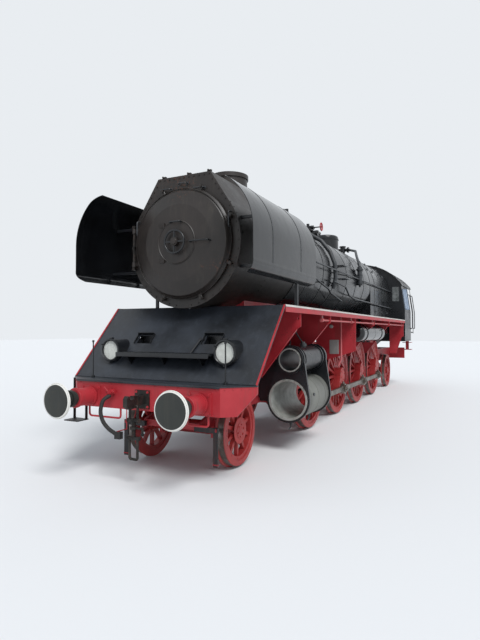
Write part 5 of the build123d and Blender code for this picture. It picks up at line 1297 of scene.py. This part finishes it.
class LOCO_OT_stage(bpy.types.Operator):
    """Pale floor, soft light and the camera at the photograph's angle."""

    bl_idname = "loco.stage"
    bl_label = "Floor, light and camera"

    def execute(self, context):
        stage = context.scene.loco_stage
        bm = bmesh.new()
        bmesh.ops.create_grid(bm, x_segments=1, y_segments=1, size=90.0)
        mesh = bpy.data.meshes.new("floor")
        bm.to_mesh(mesh)
        bm.free()
        mat, _, shader, _ = start_material("matt_grey_paper")
        shader.inputs["Base Color"].default_value = linear("#e3e4e5")
        shader.inputs["Roughness"].default_value = 0.9
        mesh.materials.append(mat)
        floor = bpy.data.objects.new("floor", mesh)
        floor.location = (0, 0, -0.001)
        context.collection.objects.link(floor)

        world = bpy.data.worlds.new("studio")
        context.scene.world = world
        world.use_nodes = True
        tree = world.node_tree
        tree.nodes.clear()
        rays = add_node(tree, "ShaderNodeLightPath")
        direct = add_node(tree, "ShaderNodeMath", {"operation": "MAXIMUM"},
                          links={0: rays.outputs["Is Camera Ray"], 1: rays.outputs["Is Transmission Ray"]})
        seen = add_node(tree, "ShaderNodeMath", {"operation": "MAXIMUM"},
                        links={0: direct.outputs["Value"], 1: rays.outputs["Is Glossy Ray"]})
        fill = add_node(tree, "ShaderNodeBackground", inputs={"Color": linear("#dfe6ee"), "Strength": stage.sky})
        backdrop = add_node(tree, "ShaderNodeBackground", inputs={"Color": linear("#e9edf1"), "Strength": 1.0})
        both = add_node(tree, "ShaderNodeMixShader",
                        links={0: seen.outputs["Value"], 1: fill.outputs["Background"],
                               2: backdrop.outputs["Background"]})
        add_node(tree, "ShaderNodeOutputWorld", links={"Surface": both.outputs["Shader"]})

        key = bpy.data.lights.new("key", "SUN")
        key.energy = stage.key
        key.angle = math.radians(25)
        lamp = bpy.data.objects.new("key", key)
        lamp.rotation_euler = (math.radians(38), math.radians(12), math.radians(35))
        context.collection.objects.link(lamp)

        camera = bpy.data.cameras.new("photo_camera")
        camera.lens = stage.lens
        camera.sensor_width = 36.0
        camera.clip_end = 300.0
        eye = bpy.data.objects.new("photo_camera", camera)
        eye.location = at(*EYE_PLACE)
        eye.rotation_euler = (math.radians(EYE_TILT), 0.0, math.radians(EYE_TURN))
        context.collection.objects.link(eye)
        context.scene.camera = eye
        context.scene.view_settings.view_transform = "Standard"
        return {"FINISHED"}


class LOCO_PT_panel(bpy.types.Panel):
    """Lists the sizes, colours and operators of the locomotive."""

    bl_idname = "LOCO_PT_panel"
    bl_label = "Locomotive"
    bl_space_type = "VIEW_3D"
    bl_region_type = "UI"
    bl_category = "Locomotive"

    def draw(self, context):
        layout = self.layout
        for group in (context.scene.loco_look, context.scene.loco_boiler, context.scene.loco_stage):
            box = layout.box()
            for prop in group.bl_rna.properties:
                if prop.identifier not in ("rna_type", "name"):
                    box.prop(group, prop.identifier)
        for operator in OPERATORS:
            layout.operator(operator.bl_idname)


GROUPS = (LocomotiveLook, BoilerSizes, StageLook)
OPERATORS = (
    LOCO_OT_finishes, LOCO_OT_smokebox_trim, LOCO_OT_boiler_trim, LOCO_OT_mounting_trim, LOCO_OT_deflector_trim,
    LOCO_OT_apron_trim, LOCO_OT_board_trim, LOCO_OT_wheel_trim, LOCO_OT_rod_trim, LOCO_OT_cylinder_trim,
    LOCO_OT_front_trim, LOCO_OT_underframe_trim, LOCO_OT_cab_trim, LOCO_OT_stage,
)


def register():
    for item in (*GROUPS, *OPERATORS, LOCO_PT_panel):
        bpy.utils.register_class(item)
    bpy.types.Scene.loco_look = bpy.props.PointerProperty(type=LocomotiveLook)
    bpy.types.Scene.loco_boiler = bpy.props.PointerProperty(type=BoilerSizes)
    bpy.types.Scene.loco_stage = bpy.props.PointerProperty(type=StageLook)


def unregister():
    for name in ("loco_look", "loco_boiler", "loco_stage"):
        delattr(bpy.types.Scene, name)
    for item in reversed((*GROUPS, *OPERATORS, LOCO_PT_panel)):
        bpy.utils.unregister_class(item)


def main():
    register()
    for operator in OPERATORS:
        getattr(bpy.ops.loco, operator.bl_idname.split(".")[1])()
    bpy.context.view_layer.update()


if __name__ == "__main__":
    main()
